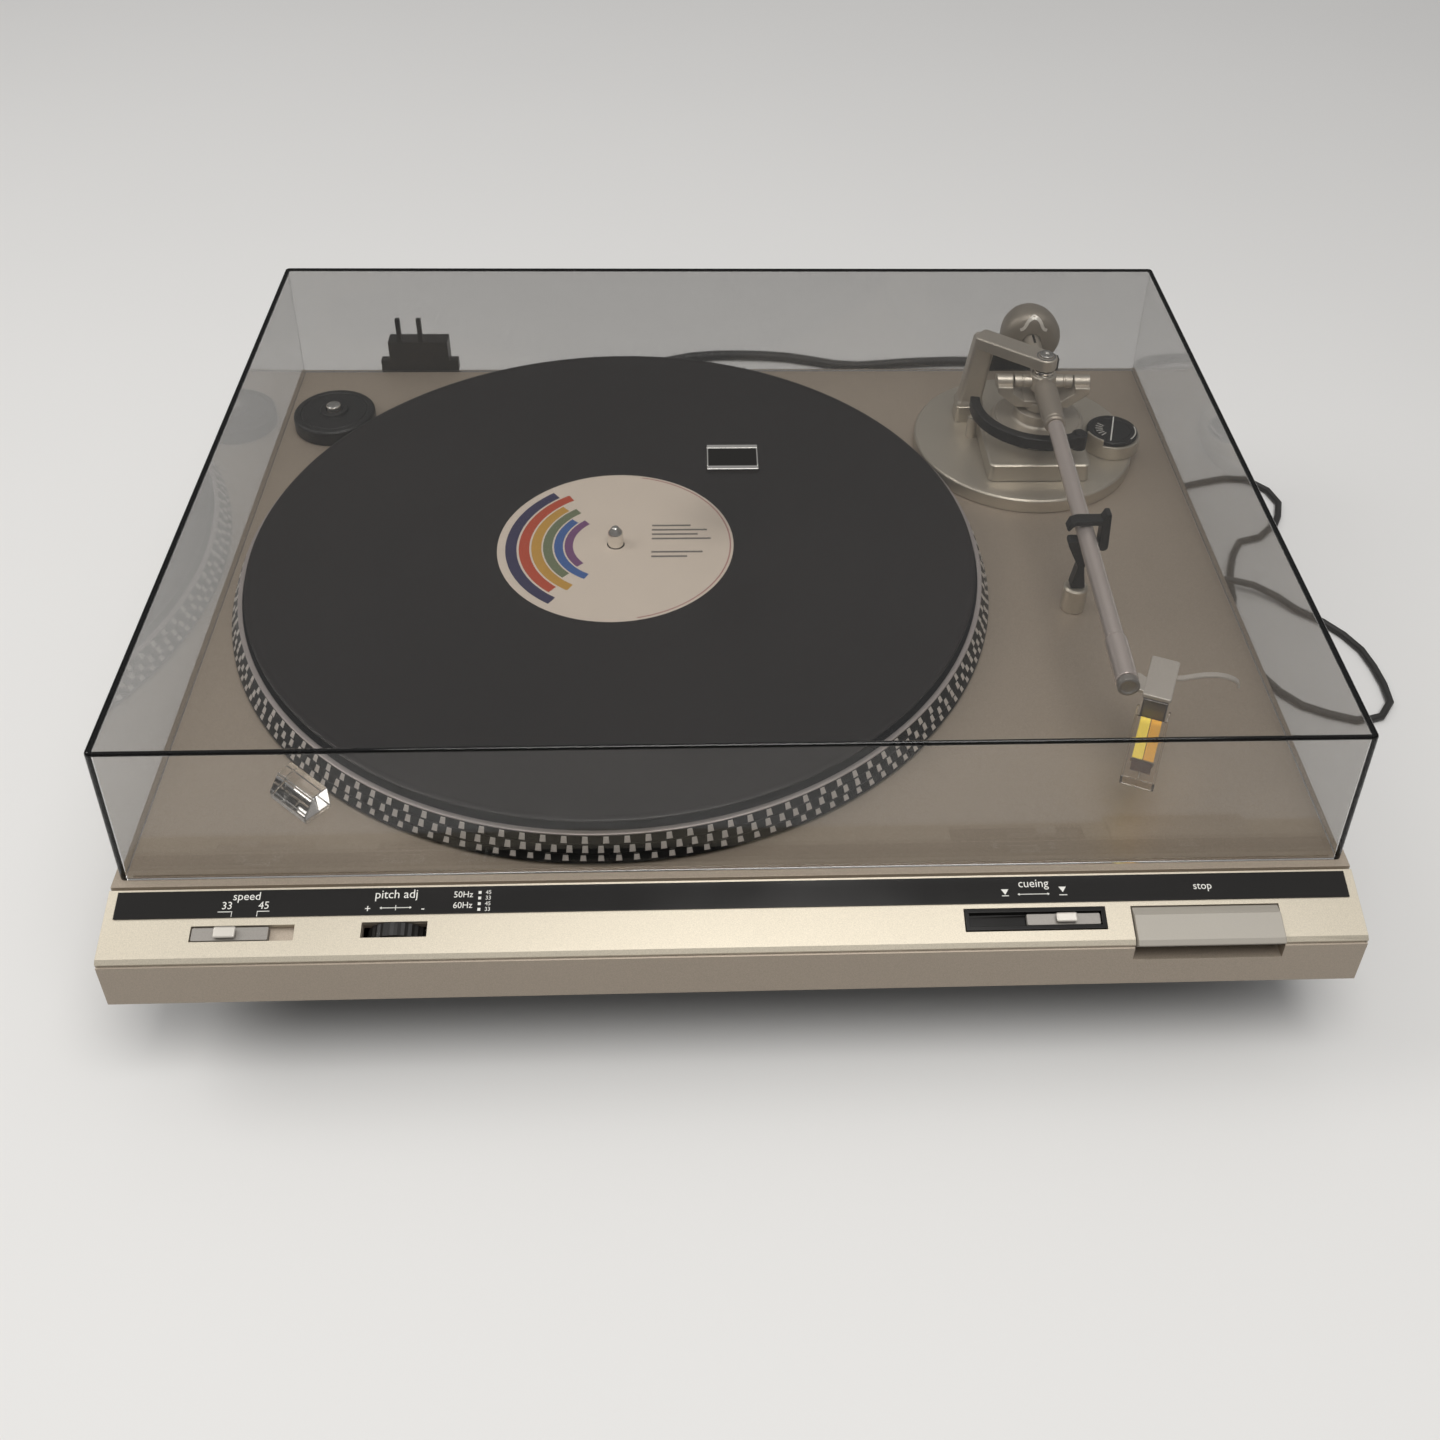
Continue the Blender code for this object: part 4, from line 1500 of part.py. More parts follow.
def least_gap(points, radius, skip):
    """The least distance between parts of a tube that lie some way apart along it."""
    best = math.inf
    for i, p in enumerate(points):
        for q in points[i + skip:]:
            best = min(best, (p - q).length)
    return best - 2 * radius


def lead(name, radius, step_share, start_y, x, table_from, route, coil_centre, coil_r, turns, start, tail,
         plug_z):
    """A lead from its relief, over the table, into its coil and out to its plug, whose start is returned."""
    dia = 2 * radius
    begin = Vector((x, start_y + GAP, LEAD_H))
    pitch = dia + COIL_CLEAR
    loops = coil_points(coil_centre, coil_r, pitch, turns, radius, start)
    heading = Vector((-math.sin(start), math.cos(start), 0))
    enter = loops[0] - heading * dia
    on_table = [Vector((a, b, radius + h)) for a, b, h in route]
    fall = drop(x, begin.y + dia, table_from, radius)
    path = smooth_path(fall + on_table + [enter - heading * (dia + GAP)], step_share * dia)
    last = enter - heading * GAP
    cord = rod(f"{name}_cord", [begin] + path + [last], radius, CORD_BLACK)
    leave = -heading
    out = loops[-1] + leave * tail
    out.z = plug_z
    middle = (loops[-1] + out) / 2
    wound = [enter] + loops + [middle, out - leave * dia, out]
    coil = rod(f"{name}_coil", wound, radius, CORD_BLACK, resolution=1)
    gaps = least_gap(wound, radius, COIL_POINTS // 2)
    length = sum((q - p).length for line in (path, wound) for p, q in zip(line, line[1:]))
    print(f"{name}: least gap in the coil {gaps * 1000:.2f} mm, lead {length + dia:.3f} m")
    return out + leave * GAP, leave


# The mains lead
mains_from = relief("mains_relief", MAINS_X, 1.0)
mains_end, mains_way = lead("mains", MAINS_R, MAINS_STEP_SHARE, mains_from, MAINS_X, MAINS_TABLE_Y, MAINS_ROUTE,
                            MAINS_COIL, MAINS_COIL_R, MAINS_COIL_TURNS, math.pi / 2, MAINS_TAIL, PLUG_H / 2)
mains_plug = box("mains_plug", (0.0, -PLUG_W / 2, 0.0), (PLUG_L, PLUG_W / 2, PLUG_H), CORD_BLACK, PLUG_EDGE)
blades = [box(f"blade_{i}", (PLUG_L - PLUG_EDGE, middle - BLADE_T / 2, (PLUG_H - BLADE_W) / 2),
              (PLUG_L + BLADE_L, middle + BLADE_T / 2, (PLUG_H + BLADE_W) / 2), cutter=True)
          for i, middle in enumerate((-BLADE_SPACING / 2, BLADE_SPACING / 2))]
join(mains_plug, *blades)
for piece in (mains_plug, *blades):
    place(piece, (mains_end.x, mains_end.y, 0), (0, 0, math.atan2(mains_way.y, mains_way.x)))

# The signal lead
audio_from = relief("audio_relief", AUDIO_X, AUDIO_RELIEF_SHARE)
audio_end, audio_way = lead("audio", AUDIO_R, AUDIO_STEP_SHARE, audio_from, AUDIO_X, AUDIO_TABLE_Y, AUDIO_ROUTE,
                            AUDIO_COIL, AUDIO_COIL_R, AUDIO_COIL_TURNS, 0.0, AUDIO_TAIL, AUDIO_PLUG_H / 2)
audio_plug = box("audio_plug", (0.0, -AUDIO_PLUG_W / 2, 0.0), (AUDIO_PLUG_L, AUDIO_PLUG_W / 2, AUDIO_PLUG_H),
                 CORD_BLACK, PLUG_EDGE)
pins = []
for i, side in enumerate((-1, 1)):
    pin = turned(f"phono_pin_{i}", [
        (0, AUDIO_PLUG_L + PIN_L), (PIN_R, AUDIO_PLUG_L + PIN_L), (PIN_R, AUDIO_PLUG_L + PIN_L / 4),
        (2 * PIN_R, AUDIO_PLUG_L + PIN_L / 4), (2 * PIN_R, AUDIO_PLUG_L - PLUG_EDGE),
        (0, AUDIO_PLUG_L - PLUG_EDGE),
    ], steps=16, cutter=True)
    pin.data.transform(Matrix.Translation((0, side * PIN_SPACING / 2, AUDIO_PLUG_H / 2))
                       @ Matrix.Rotation(math.pi / 2, 4, "Y"))
    pins.append(pin)
join(audio_plug, *pins)
for piece in (audio_plug, *pins):
    place(piece, (audio_end.x, audio_end.y, 0), (0, 0, math.atan2(audio_way.y, audio_way.x)))
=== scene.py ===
"""Looks of an automatic turntable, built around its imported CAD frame."""

from math import atan2, copysign, cos, pi, radians, sin

import bmesh
import bpy
from mathutils import Matrix, Vector


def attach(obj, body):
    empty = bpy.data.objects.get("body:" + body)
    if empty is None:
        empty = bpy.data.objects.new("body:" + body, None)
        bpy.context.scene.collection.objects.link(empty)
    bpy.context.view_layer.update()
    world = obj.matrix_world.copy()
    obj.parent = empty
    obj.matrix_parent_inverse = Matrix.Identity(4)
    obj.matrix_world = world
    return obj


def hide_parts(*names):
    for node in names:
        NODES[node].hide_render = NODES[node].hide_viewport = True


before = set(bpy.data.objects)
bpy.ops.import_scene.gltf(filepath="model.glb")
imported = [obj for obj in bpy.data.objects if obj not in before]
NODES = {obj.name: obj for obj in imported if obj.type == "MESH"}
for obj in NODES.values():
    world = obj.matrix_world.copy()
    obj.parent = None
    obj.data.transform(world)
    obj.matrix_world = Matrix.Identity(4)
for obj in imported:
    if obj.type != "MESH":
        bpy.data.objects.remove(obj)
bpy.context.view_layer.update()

# Places and angles, as in the CAD
GAP = 0.0003               # between neighbours
DECK_Z = 0.0702
LEDGE_Z = 0.0694
RIM_Y = -0.1627
CASE_BACK_Y = 0.1675
SPINDLE = Vector((-0.048713, 0.0022, DECK_Z))
PIVOT = Vector((0.145713, 0.089615, DECK_Z))
AXIS_H = 0.0408
PANEL_ANGLE = radians(17.46)
ARM_ANGLE = radians(-1.68)
HEAD_ANGLE = radians(-21.2)
HEAD_ALONG = 0.197473
HEAD_SIDE = 0.0135
MARK_Z = 0.0006            # of the printed marks, over the panel's plane


shift = Matrix.Translation


def spin(angle, axis):
    return Matrix.Rotation(angle, 4, axis)


PLATTER = shift(SPINDLE)
FOOT = shift(PIVOT)
SWING = FOOT @ spin(ARM_ANGLE, "Z")
LIFT = SWING @ shift((0, 0, AXIS_H))
HEAD = LIFT @ shift((HEAD_SIDE, -HEAD_ALONG, 0)) @ spin(HEAD_ANGLE, "Z")
PANEL = shift((0, RIM_Y, LEDGE_Z)) @ spin(PANEL_ANGLE, "X")
REST = shift((0.142913, -0.022885, DECK_Z))
AWAY = spin(pi / 2, "X")       # turns +Z to -Y
BACK = spin(-pi / 2, "X")      # turns +Z to +Y
SIDEWAYS = spin(pi / 2, "Y")   # turns +Z to +X


def link(obj):
    bpy.context.scene.collection.objects.link(obj)


def mm(*points):
    """Points written in millimetres, in metres."""
    return [tuple(v / 1000 for v in p) for p in points]


# Camera: as the photograph was taken
def make_camera():
    yaw, pitch, roll = radians(3.4486), radians(-36.795), radians(1.7127)
    forward = Vector((sin(yaw) * cos(pitch), cos(yaw) * cos(pitch), sin(pitch)))
    flat = Vector((cos(yaw), -sin(yaw), 0.0))
    steep = flat.cross(forward)
    right = flat * cos(roll) + steep * sin(roll)
    up = steep * cos(roll) - flat * sin(roll)
    turn = Matrix((right, up, -forward)).transposed().to_4x4()
    data = bpy.data.cameras.new("camera")
    data.lens = 39.517
    data.sensor_width = 36.0
    data.shift_x = -0.0339
    data.shift_y = -0.1523
    data.clip_start = 0.01
    data.clip_end = 50.0
    camera = bpy.data.objects.new("camera", data)
    camera.matrix_world = shift((-0.0163, -0.5223, 0.5023)) @ turn
    link(camera)
    bpy.context.scene.camera = camera


make_camera()


def feed(tree, node, values):
    """A value or a link for each of a node's inputs."""
    for key, value in values.items():
        if isinstance(value, bpy.types.NodeSocket):
            tree.links.new(value, node.inputs[key])
        else:
            node.inputs[key].default_value = value


def add(tree, kind, values=None, **settings):
    """A new node with its settings and its inputs."""
    node = tree.nodes.new("ShaderNode" + kind)
    for key, value in settings.items():
        setattr(node, key, value)
    feed(tree, node, values or {})
    return node


def ranged(tree, value, low, high, new_low, new_high):
    """A value taken from one range to another."""
    return add(tree, "MapRange", {"Value": value, "From Min": low, "From Max": high, "To Min": new_low,
                                  "To Max": new_high}).outputs["Result"]


def bumped(tree, height, strength, depth):
    return add(tree, "Bump", {"Height": height, "Strength": strength, "Distance": depth}).outputs["Normal"]


def finish_of(name, color, rough, metal=0.0, vary=0.05, scale=30.0, stretch=(1, 1, 1), rough_vary=0.05, grain=900.0,
              bump=0.04, speck=0.0, aniso=0.0, painted_glow=0.0, gloss=0.5):
    """A Principled material whose colour, roughness and surface vary a little."""
    m = bpy.data.materials.new(name)
    m.use_nodes = True
    tree = m.node_tree
    shader = tree.nodes["Principled BSDF"]
    coords = add(tree, "TexCoord")
    spot = add(tree, "Mapping", {"Vector": coords.outputs["Object"], "Scale": stretch}).outputs["Vector"]
    patches = add(tree, "TexNoise", {"Vector": spot, "Scale": scale, "Detail": 5.0}).outputs["Fac"]
    fine = add(tree, "TexNoise", {"Vector": spot, "Scale": grain, "Detail": 2.0}).outputs["Fac"]
    darker = [c * (1 - vary) for c in color]
    lighter = [min(1.0, c * (1 + vary)) for c in color]
    paint = add(tree, "Mix", {"Factor": patches, "A": (*darker, 1.0), "B": (*lighter, 1.0)},
                data_type="RGBA").outputs["Result"]
    if speck:
        flakes = ranged(tree, fine, 0.3, 0.7, 1.0 - speck, 1.0 + speck)
        paint = add(tree, "VectorMath", {0: paint, "Scale": flakes}, operation="SCALE").outputs["Vector"]
    wear = ranged(tree, patches, 0.25, 0.75, max(0.02, rough - rough_vary), min(1.0, rough + rough_vary))
    feed(tree, shader, {"Base Color": paint, "Roughness": wear, "Metallic": metal, "Specular IOR Level": gloss})
    # Emission is painted light: the part glows though it is no lamp.
    if painted_glow:
        feed(tree, shader, {"Emission Color": (*color, 1.0), "Emission Strength": painted_glow})
    if bump:
        feed(tree, shader, {"Normal": bumped(tree, fine, bump, 0.0002)})
    if aniso:
        around = add(tree, "Tangent", direction_type="RADIAL", axis="Z")
        feed(tree, shader, {"Tangent": around.outputs["Tangent"], "Anisotropic": aniso})
    return m


def clear_of(name, color, shadow, rough=0.02, ior=1.49, smoke=None):
    """Clear plastic; light from the lamps passes it, tinted. Smoke darkens it by its thickness, in metres."""
    m = finish_of(name, color, rough, vary=0.01, rough_vary=0.008, bump=0.0)
    tree = m.node_tree
    shader = tree.nodes["Principled BSDF"]
    out = tree.nodes["Material Output"]
    feed(tree, shader, {"Transmission Weight": 1.0, "IOR": ior})
    path = add(tree, "LightPath")
    passing = add(tree, "Math", {0: path.outputs["Is Shadow Ray"], 1: path.outputs["Is Diffuse Ray"]},
                  operation="MAXIMUM")
    veil = add(tree, "BsdfTransparent", {"Color": (*shadow, 1.0)})
    mix = add(tree, "MixShader", {"Fac": passing.outputs["Value"], 1: shader.outputs["BSDF"],
                                  2: veil.outputs["BSDF"]})
    feed(tree, out, {"Surface": mix.outputs["Shader"]})
    if smoke:
        most = max(smoke)
        inner = add(tree, "VolumeAbsorption", {"Density": most, "Color": (*[1 - v / most for v in smoke], 1.0)})
        feed(tree, out, {"Volume": inner.outputs["Volume"]})
    return m


def vinyl_of(name):
    """Record surface: fine rings, with smoother bands between the tracks."""
    m = finish_of(name, (0.018, 0.015, 0.014), 0.3, vary=0.25, scale=9.0, rough_vary=0.04, bump=0.0, aniso=0.6,
        gloss=0.3)
    tree = m.node_tree
    coords = add(tree, "TexCoord")
    level = add(tree, "VectorMath", {0: coords.outputs["Object"], 1: (1, 1, 0)}, operation="MULTIPLY")
    radius = add(tree, "VectorMath", {0: level.outputs["Vector"]}, operation="LENGTH").outputs["Value"]
    bands = add(tree, "TexNoise", {"W": radius, "Scale": 130.0, "Detail": 6.0}, noise_dimensions="1D")
    rings = add(tree, "TexNoise", {"W": radius, "Scale": 4200.0}, noise_dimensions="1D")
    feed(tree, tree.nodes["Principled BSDF"], {
        "Roughness": ranged(tree, bands.outputs["Fac"], 0.3, 0.7, 0.29, 0.35),
        "Normal": bumped(tree, rings.outputs["Fac"], 0.25, 0.00005)})
    return m


SMOKE = (66, 69, 73)       # absorption per metre of red, green and blue
# Name, colour, roughness, metallic, how much it varies, and the scale of that
CHAMPAGNE = finish_of("champagne_paint", (0.445, 0.375, 0.3), 0.42, 0.35, 0.03, 12.0, grain=2500.0, bump=0.05,
    speck=0.1)
PANEL_METAL = finish_of("panel_metal", (0.62, 0.56, 0.45), 0.38, 0.4, 0.03, 14.0, grain=2800.0, bump=0.05,
    speck=0.1)
GLOSS = finish_of("black_gloss", (0.013, 0.012, 0.011), 0.12, 0.0, 0.15, 20.0, bump=0.01, gloss=0.28)
PLASTIC = finish_of("black_plastic", (0.017, 0.016, 0.015), 0.42, 0.0, 0.15, 60.0, grain=2200.0, bump=0.1,
    gloss=0.35)
DARK = finish_of("dark_tray", (0.045, 0.045, 0.045), 0.62, 0.0, 0.1, 25.0, grain=1500.0, bump=0.15)
RUBBER = finish_of("black_rubber", (0.022, 0.021, 0.02), 0.78, 0.0, 0.15, 50.0, grain=1800.0, bump=0.2)
SILVER = finish_of("arm_metal", (0.56, 0.51, 0.43), 0.36, 0.6, 0.03, 25.0, grain=3000.0, bump=0.04, speck=0.08)
ALLOY = finish_of("satin_alloy", (0.56, 0.51, 0.44), 0.4, 0.6, 0.03, 30.0, grain=2600.0, bump=0.03, speck=0.05)
SHELL = finish_of("headshell_metal", (0.62, 0.57, 0.51), 0.42, 0.35, 0.03, 60.0, grain=2800.0, bump=0.03,
    speck=0.06)
BRIGHT = finish_of("bright_metal", (0.86, 0.84, 0.8), 0.16, 1.0, 0.02, 30.0, grain=2000.0, bump=0.02)
TUBE = finish_of("arm_tube_metal", (0.8, 0.71, 0.66), 0.24, 0.6, 0.02, 30.0, grain=2000.0, bump=0.02)
VINYL = vinyl_of("vinyl")
LIP = finish_of("lip_metal", (0.5, 0.45, 0.43), 0.36, 0.55, 0.04, 20.0, bump=0.0, aniso=0.5)
KNOB = finish_of("knob_grey", (0.3, 0.28, 0.255), 0.42, 0.35, 0.04, 60.0, grain=2600.0, bump=0.06, speck=0.06)
CAP = finish_of("knob_cap", (0.66, 0.62, 0.56), 0.34, 0.35, 0.04, 60.0, grain=2600.0, bump=0.04)
KEY = finish_of("key_grey", (0.43, 0.4, 0.35), 0.5, 0.12, 0.03, 30.0, (1, 8, 8), grain=2600.0, bump=0.05,
    speck=0.05)
# The two stylus colours glow a little: painted light that keeps them bright.
YELLOW = finish_of("yellow_stylus", (0.98, 0.8, 0.12), 0.35, 0.0, 0.03, 80.0, bump=0.02, painted_glow=0.9)
ORANGE = finish_of("orange_stylus", (0.95, 0.52, 0.07), 0.35, 0.0, 0.03, 80.0, bump=0.02, painted_glow=0.7)
CART = finish_of("cartridge_grey", (0.19, 0.17, 0.15), 0.36, 0.0, 0.1, 80.0, bump=0.05)
BOARD = finish_of("board", (0.08, 0.2, 0.09), 0.5, 0.0, 0.12, 120.0, bump=0.06)
STEEL = finish_of("core_steel", (0.3, 0.29, 0.28), 0.42, 0.75, 0.08, 60.0, (1, 1, 8), bump=0.06)
CORD = finish_of("cord_black", (0.026, 0.025, 0.024), 0.5, 0.0, 0.12, 60.0, grain=1500.0, bump=0.12)
RIM = finish_of("platter_rim", (0.006, 0.006, 0.006), 0.3, 0.0, 0.12, 40.0, bump=0.02, gloss=0.3)
DOT = finish_of("rim_dots", (0.74, 0.69, 0.64), 0.34, 0.35, 0.12, 400.0, bump=0.02)
CREAM = finish_of("label_paper", (0.8, 0.69, 0.58), 0.62, 0.0, 0.04, 70.0, grain=1500.0, bump=0.06)
MARK = finish_of("white_marks", (0.86, 0.85, 0.8), 0.5, 0.0, 0.03, 200.0, bump=0.0)
DIM_MARK = finish_of("dial_marks", (0.62, 0.6, 0.55), 0.5, 0.0, 0.08, 200.0, bump=0.0)
SMOKED = clear_of("smoked_clear", (0.87, 0.87, 0.87), (0.935, 0.935, 0.935), ior=1.4, smoke=SMOKE)
# Painted shade: the cover's outer shoulder gets a darker tint, and casts a darker shadow, than the rest of the
# shell.
PAINTED_EDGE_SHADE = clear_of("painted_edge_shade", (0.14, 0.13, 0.12), (0.75, 0.75, 0.75), ior=1.4, smoke=SMOKE)
CLEAR = clear_of("clear_plastic", (0.9, 0.88, 0.85), (0.86, 0.85, 0.83), 0.06)
COLLAR = finish_of("collar_metal", (0.42, 0.37, 0.31), 0.42, 0.45, 0.03, 40.0, grain=2600.0, bump=0.03)
BELL_METAL = finish_of("weight_metal", (0.36, 0.32, 0.265), 0.44, 0.35, 0.03, 30.0, grain=2800.0, bump=0.03,
    speck=0.05)
# Painted highlight on the counterweight's front.
ARCH_HIGHLIGHT = finish_of("painted_arch_highlight", (0.94, 0.9, 0.82), 0.3, 0.1, 0.03, 60.0, grain=2600.0, bump=0.03)
LEDGE = finish_of("stylus_ledge_tint", (0.7, 0.58, 0.44), 0.35, vary=0.05, scale=80.0, bump=0.02)
NOSE = finish_of("stylus_nose_tint", (0.34, 0.17, 0.08), 0.35, vary=0.15, scale=300.0, bump=0.02)
GUARD = clear_of("guard_clear", (0.86, 0.79, 0.7), (0.34, 0.31, 0.28), 0.1)


# Making pieces
NONE = 1e-7                # a length that counts as nothing
EDGE_STEPS = 3             # in a block's rounded edge
STRAIGHT = -0.985          # the cosine between two sides that run on


def polar(radius, angle):
    return (radius * cos(angle), radius * sin(angle))


def rounding(obj, width, angle):
    """A modifier that rounds an object's edges."""
    mod = obj.modifiers.new("edges", "BEVEL")
    mod.width = width
    mod.segments = 2
    mod.limit_method = "ANGLE"
    mod.angle_limit = radians(angle)
    mod.harden_normals = True
    return mod


def piece(name, verts, faces, mat, body, place=None, replaces=None, slot=None, edge=0.0, angle=40.0, origin=None):
    """A piece of the object from vertices and faces. Its slot argument is not used."""
    mesh = bpy.data.meshes.new(name)
    mesh.from_pydata([tuple(v) for v in verts], [], faces)
    if place is not None:
        mesh.transform(place)
    if origin is not None:
        mesh.transform(shift(-Vector(origin)))
    bm = bmesh.new()
    bm.from_mesh(mesh)
    bmesh.ops.remove_doubles(bm, verts=bm.verts, dist=NONE)
    bmesh.ops.recalc_face_normals(bm, faces=bm.faces)
    bm.to_mesh(mesh)
    bm.free()
    mesh.shade_smooth()
    mesh.set_sharp_from_angle(angle=radians(angle))
    mesh.materials.append(mat)
    obj = bpy.data.objects.new(name, mesh)
    if origin is not None:
        obj.location = origin
    link(obj)
    if edge:
        rounding(obj, edge, 35)
    else:
        obj.modifiers.new("normals", "WEIGHTED_NORMAL").keep_sharp = True
    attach(obj, body)
    if replaces:
        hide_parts(replaces)
    return obj


def fillet(points, radius, steps=3, closed=False):
    """The same outline with its corners rounded."""
    out = []
    n = len(points)
    for i, p in enumerate(points):
        p = Vector(p)
        if not closed and i in (0, n - 1):
            out.append(p)
            continue
        a = Vector(points[i - 1]) - p
        b = Vector(points[(i + 1) % n]) - p
        reach = min(radius, 0.45 * a.length, 0.45 * b.length)
        if reach < NONE or a.normalized().dot(b.normalized()) < STRAIGHT:
            out.append(p)
            continue
        start = p + a.normalized() * reach
        end = p + b.normalized() * reach
        for k in range(steps + 1):
            t = k / steps
            out.append(start * (1 - t) ** 2 + p * 2 * t * (1 - t) + end * t ** 2)
    return out


def lathe(name, profile, mat, body, place, steps, edge=0.0, closed=False, **more):
    """A body turned about Z from (radius, height) points, with its corners rounded."""
    if edge:
        profile = fillet(profile, edge, closed=closed)
    verts, rings, faces = [], [], []
    for r, z in profile:
        if r < NONE:
            rings.append([len(verts)])
            verts.append((0.0, 0.0, z))
        else:
            rings.append(list(range(len(verts), len(verts) + steps)))
            verts += [(*polar(r, 2 * pi * k / steps), z) for k in range(steps)]
    pairs = list(zip(rings, rings[1:])) + ([(rings[-1], rings[0])] if closed else [])
    for a, b in pairs:
        for k in range(steps):
            j = (k + 1) % steps
            if len(a) > 1 and len(b) > 1:
                faces.append((a[k], a[j], b[j], b[k]))
            elif len(b) > 1:
                faces.append((a[0], b[j], b[k]))
            elif len(a) > 1:
                faces.append((a[k], a[j], b[0]))
    return piece(name, verts, faces, mat, body, place, **more)


def loft(name, loops, mat, body, place=None, **more):
    """A closed body through loops of the same number of points, capped at both ends."""
    n = len(loops[0])
    verts = [v for loop in loops for v in loop]
    faces = [tuple(range(n)), tuple(range((len(loops) - 1) * n, len(loops) * n))]
    for i in range(len(loops) - 1):
        for k in range(n):
            j = (k + 1) % n
            faces.append((i * n + k, i * n + j, (i + 1) * n + j, (i + 1) * n + k))
    return piece(name, verts, faces, mat, body, place, **more)


def rounded(low, high, radius, z, inset=0.0, steps=5):
    """Points of a rectangle with round corners at one height."""
    x0, y0, x1, y1 = low[0] + inset, low[1] + inset, high[0] - inset, high[1] - inset
    r = max(radius - inset, 0.00005)
    out = []
    for cx, cy, start in ((x1 - r, y1 - r, 0), (x0 + r, y1 - r, 90), (x0 + r, y0 + r, 180), (x1 - r, y0 + r, 270)):
        for k in range(steps + 1):
            a = radians(start + 90 * k / steps)
            out.append((cx + r * cos(a), cy + r * sin(a), z))
    return out


def block(name, low, high, mat, body, place, radius, edge, low_edge=None, **more):
    """A box with round corners and edges."""
    low_edge = edge if low_edge is None else low_edge
    loops = []
    for k in range(EDGE_STEPS + 1):
        a = pi / 2 * k / EDGE_STEPS
        loops.append(rounded(low, high, radius, low[2] + low_edge * (1 - sin(a)), low_edge * (1 - cos(a))))
    for k in range(EDGE_STEPS + 1):
        a = pi / 2 * (1 - k / EDGE_STEPS)
        loops.append(rounded(low, high, radius, high[2] - edge * (1 - sin(a)), edge * (1 - cos(a))))
    loops[0] = rounded(low, high, radius, low[2], low_edge)
    loops[-1] = rounded(low, high, radius, high[2], edge)
    return loft(name, loops, mat, body, place, **more)


TURNS = {
    "X": Matrix(((0, 0, 1), (1, 0, 0), (0, 1, 0))).to_4x4(),
    "Y": Matrix(((1, 0, 0), (0, 0, -1), (0, 1, 0))).to_4x4(),
    "Z": Matrix.Identity(4),
}


def plate(name, points, low, high, mat, body, place, axis="Z", edge=0.0003, **more):
    """A flat outline with a thickness between two places along an axis, with rounded edges."""
    low, high = (-high, -low) if axis == "Y" else (low, high)
    n = len(points)
    verts = [(a, b, low) for a, b in points] + [(a, b, high) for a, b in points]
    faces = [tuple(reversed(range(n))), tuple(range(n, 2 * n))]
    faces += [(k, (k + 1) % n, n + (k + 1) % n, n + k) for k in range(n)]
    return piece(name, verts, faces, mat, body, place @ TURNS[axis], edge=edge, **more)


def rod(name, points, radius, sides):
    """A curve with a round section along points."""
    curve = bpy.data.curves.new(name, "CURVE")
    curve.dimensions = "3D"
    curve.bevel_depth = radius
    curve.bevel_resolution = sides
    curve.use_fill_caps = True
    spline = curve.splines.new("POLY")
    spline.points.add(len(points) - 1)
    for p, co in zip(spline.points, points):
        p.co = (*co, 1.0)
    return curve


def from_curve(name, curve, mat, body, place, **more):
    """A piece from a curve or a text, as a mesh."""
    temp = bpy.data.objects.new("temp", curve)
    link(temp)
    bpy.context.view_layer.update()
    mesh = bpy.data.meshes.new_from_object(temp.evaluated_get(bpy.context.evaluated_depsgraph_get()))
    bpy.data.objects.remove(temp)
    verts = [v.co.copy() for v in mesh.vertices]
    faces = [tuple(p.vertices) for p in mesh.polygons]
    return piece(name, verts, faces, mat, body, place, **more)


def word(name, text, size, x, s):
    """Plain lettering on the panel, thin and centred on a point."""
    curve = bpy.data.curves.new(name, "FONT")
    curve.body = text
    curve.size = size
    curve.align_x = "CENTER"
    curve.align_y = "CENTER"
    curve.extrude = 0.00003
    curve.resolution_u = 3
    return from_curve(name, curve, MARK, "case", PANEL @ shift((x, -s, MARK_Z)))


def flat(name, shapes, mat, body, z, place, thick, slot=None):
    """Thin flat marks from outlines, as one piece."""
    verts, faces = [], []
    for points in shapes:
        n, base = len(points), len(verts)
        verts += [(a, b, z) for a, b in points] + [(a, b, z + thick) for a, b in points]
        faces += [tuple(base + k for k in reversed(range(n))), tuple(base + n + k for k in range(n))]
        faces += [(base + k, base + (k + 1) % n, base + n + (k + 1) % n, base + n + k) for k in range(n)]
    return piece(name, verts, faces, mat, body, place, slot=slot)


def bar(x0, y0, x1, y1):
    return [(x0, y0), (x1, y0), (x1, y1), (x0, y1)]


def ring_sector(r0, r1, a0, a1, steps):
    """Outline of a part of a ring, angles in degrees."""
    angles = [radians(a0 + (a1 - a0) * k / steps) for k in range(steps + 1)]
    return [polar(r1, a) for a in angles] + [polar(r0, a) for a in reversed(angles)]


def dress(node, mat, edge):
    """A finish and rounded edges on a CAD piece that stays."""
    obj = NODES[node]
    obj.data.materials.clear()
    obj.data.materials.append(mat)
    if edge:
        weld = obj.modifiers.new("weld", "WELD")
        weld.merge_threshold = 0.000002
        rounding(obj, edge, 40).use_clamp_overlap = True


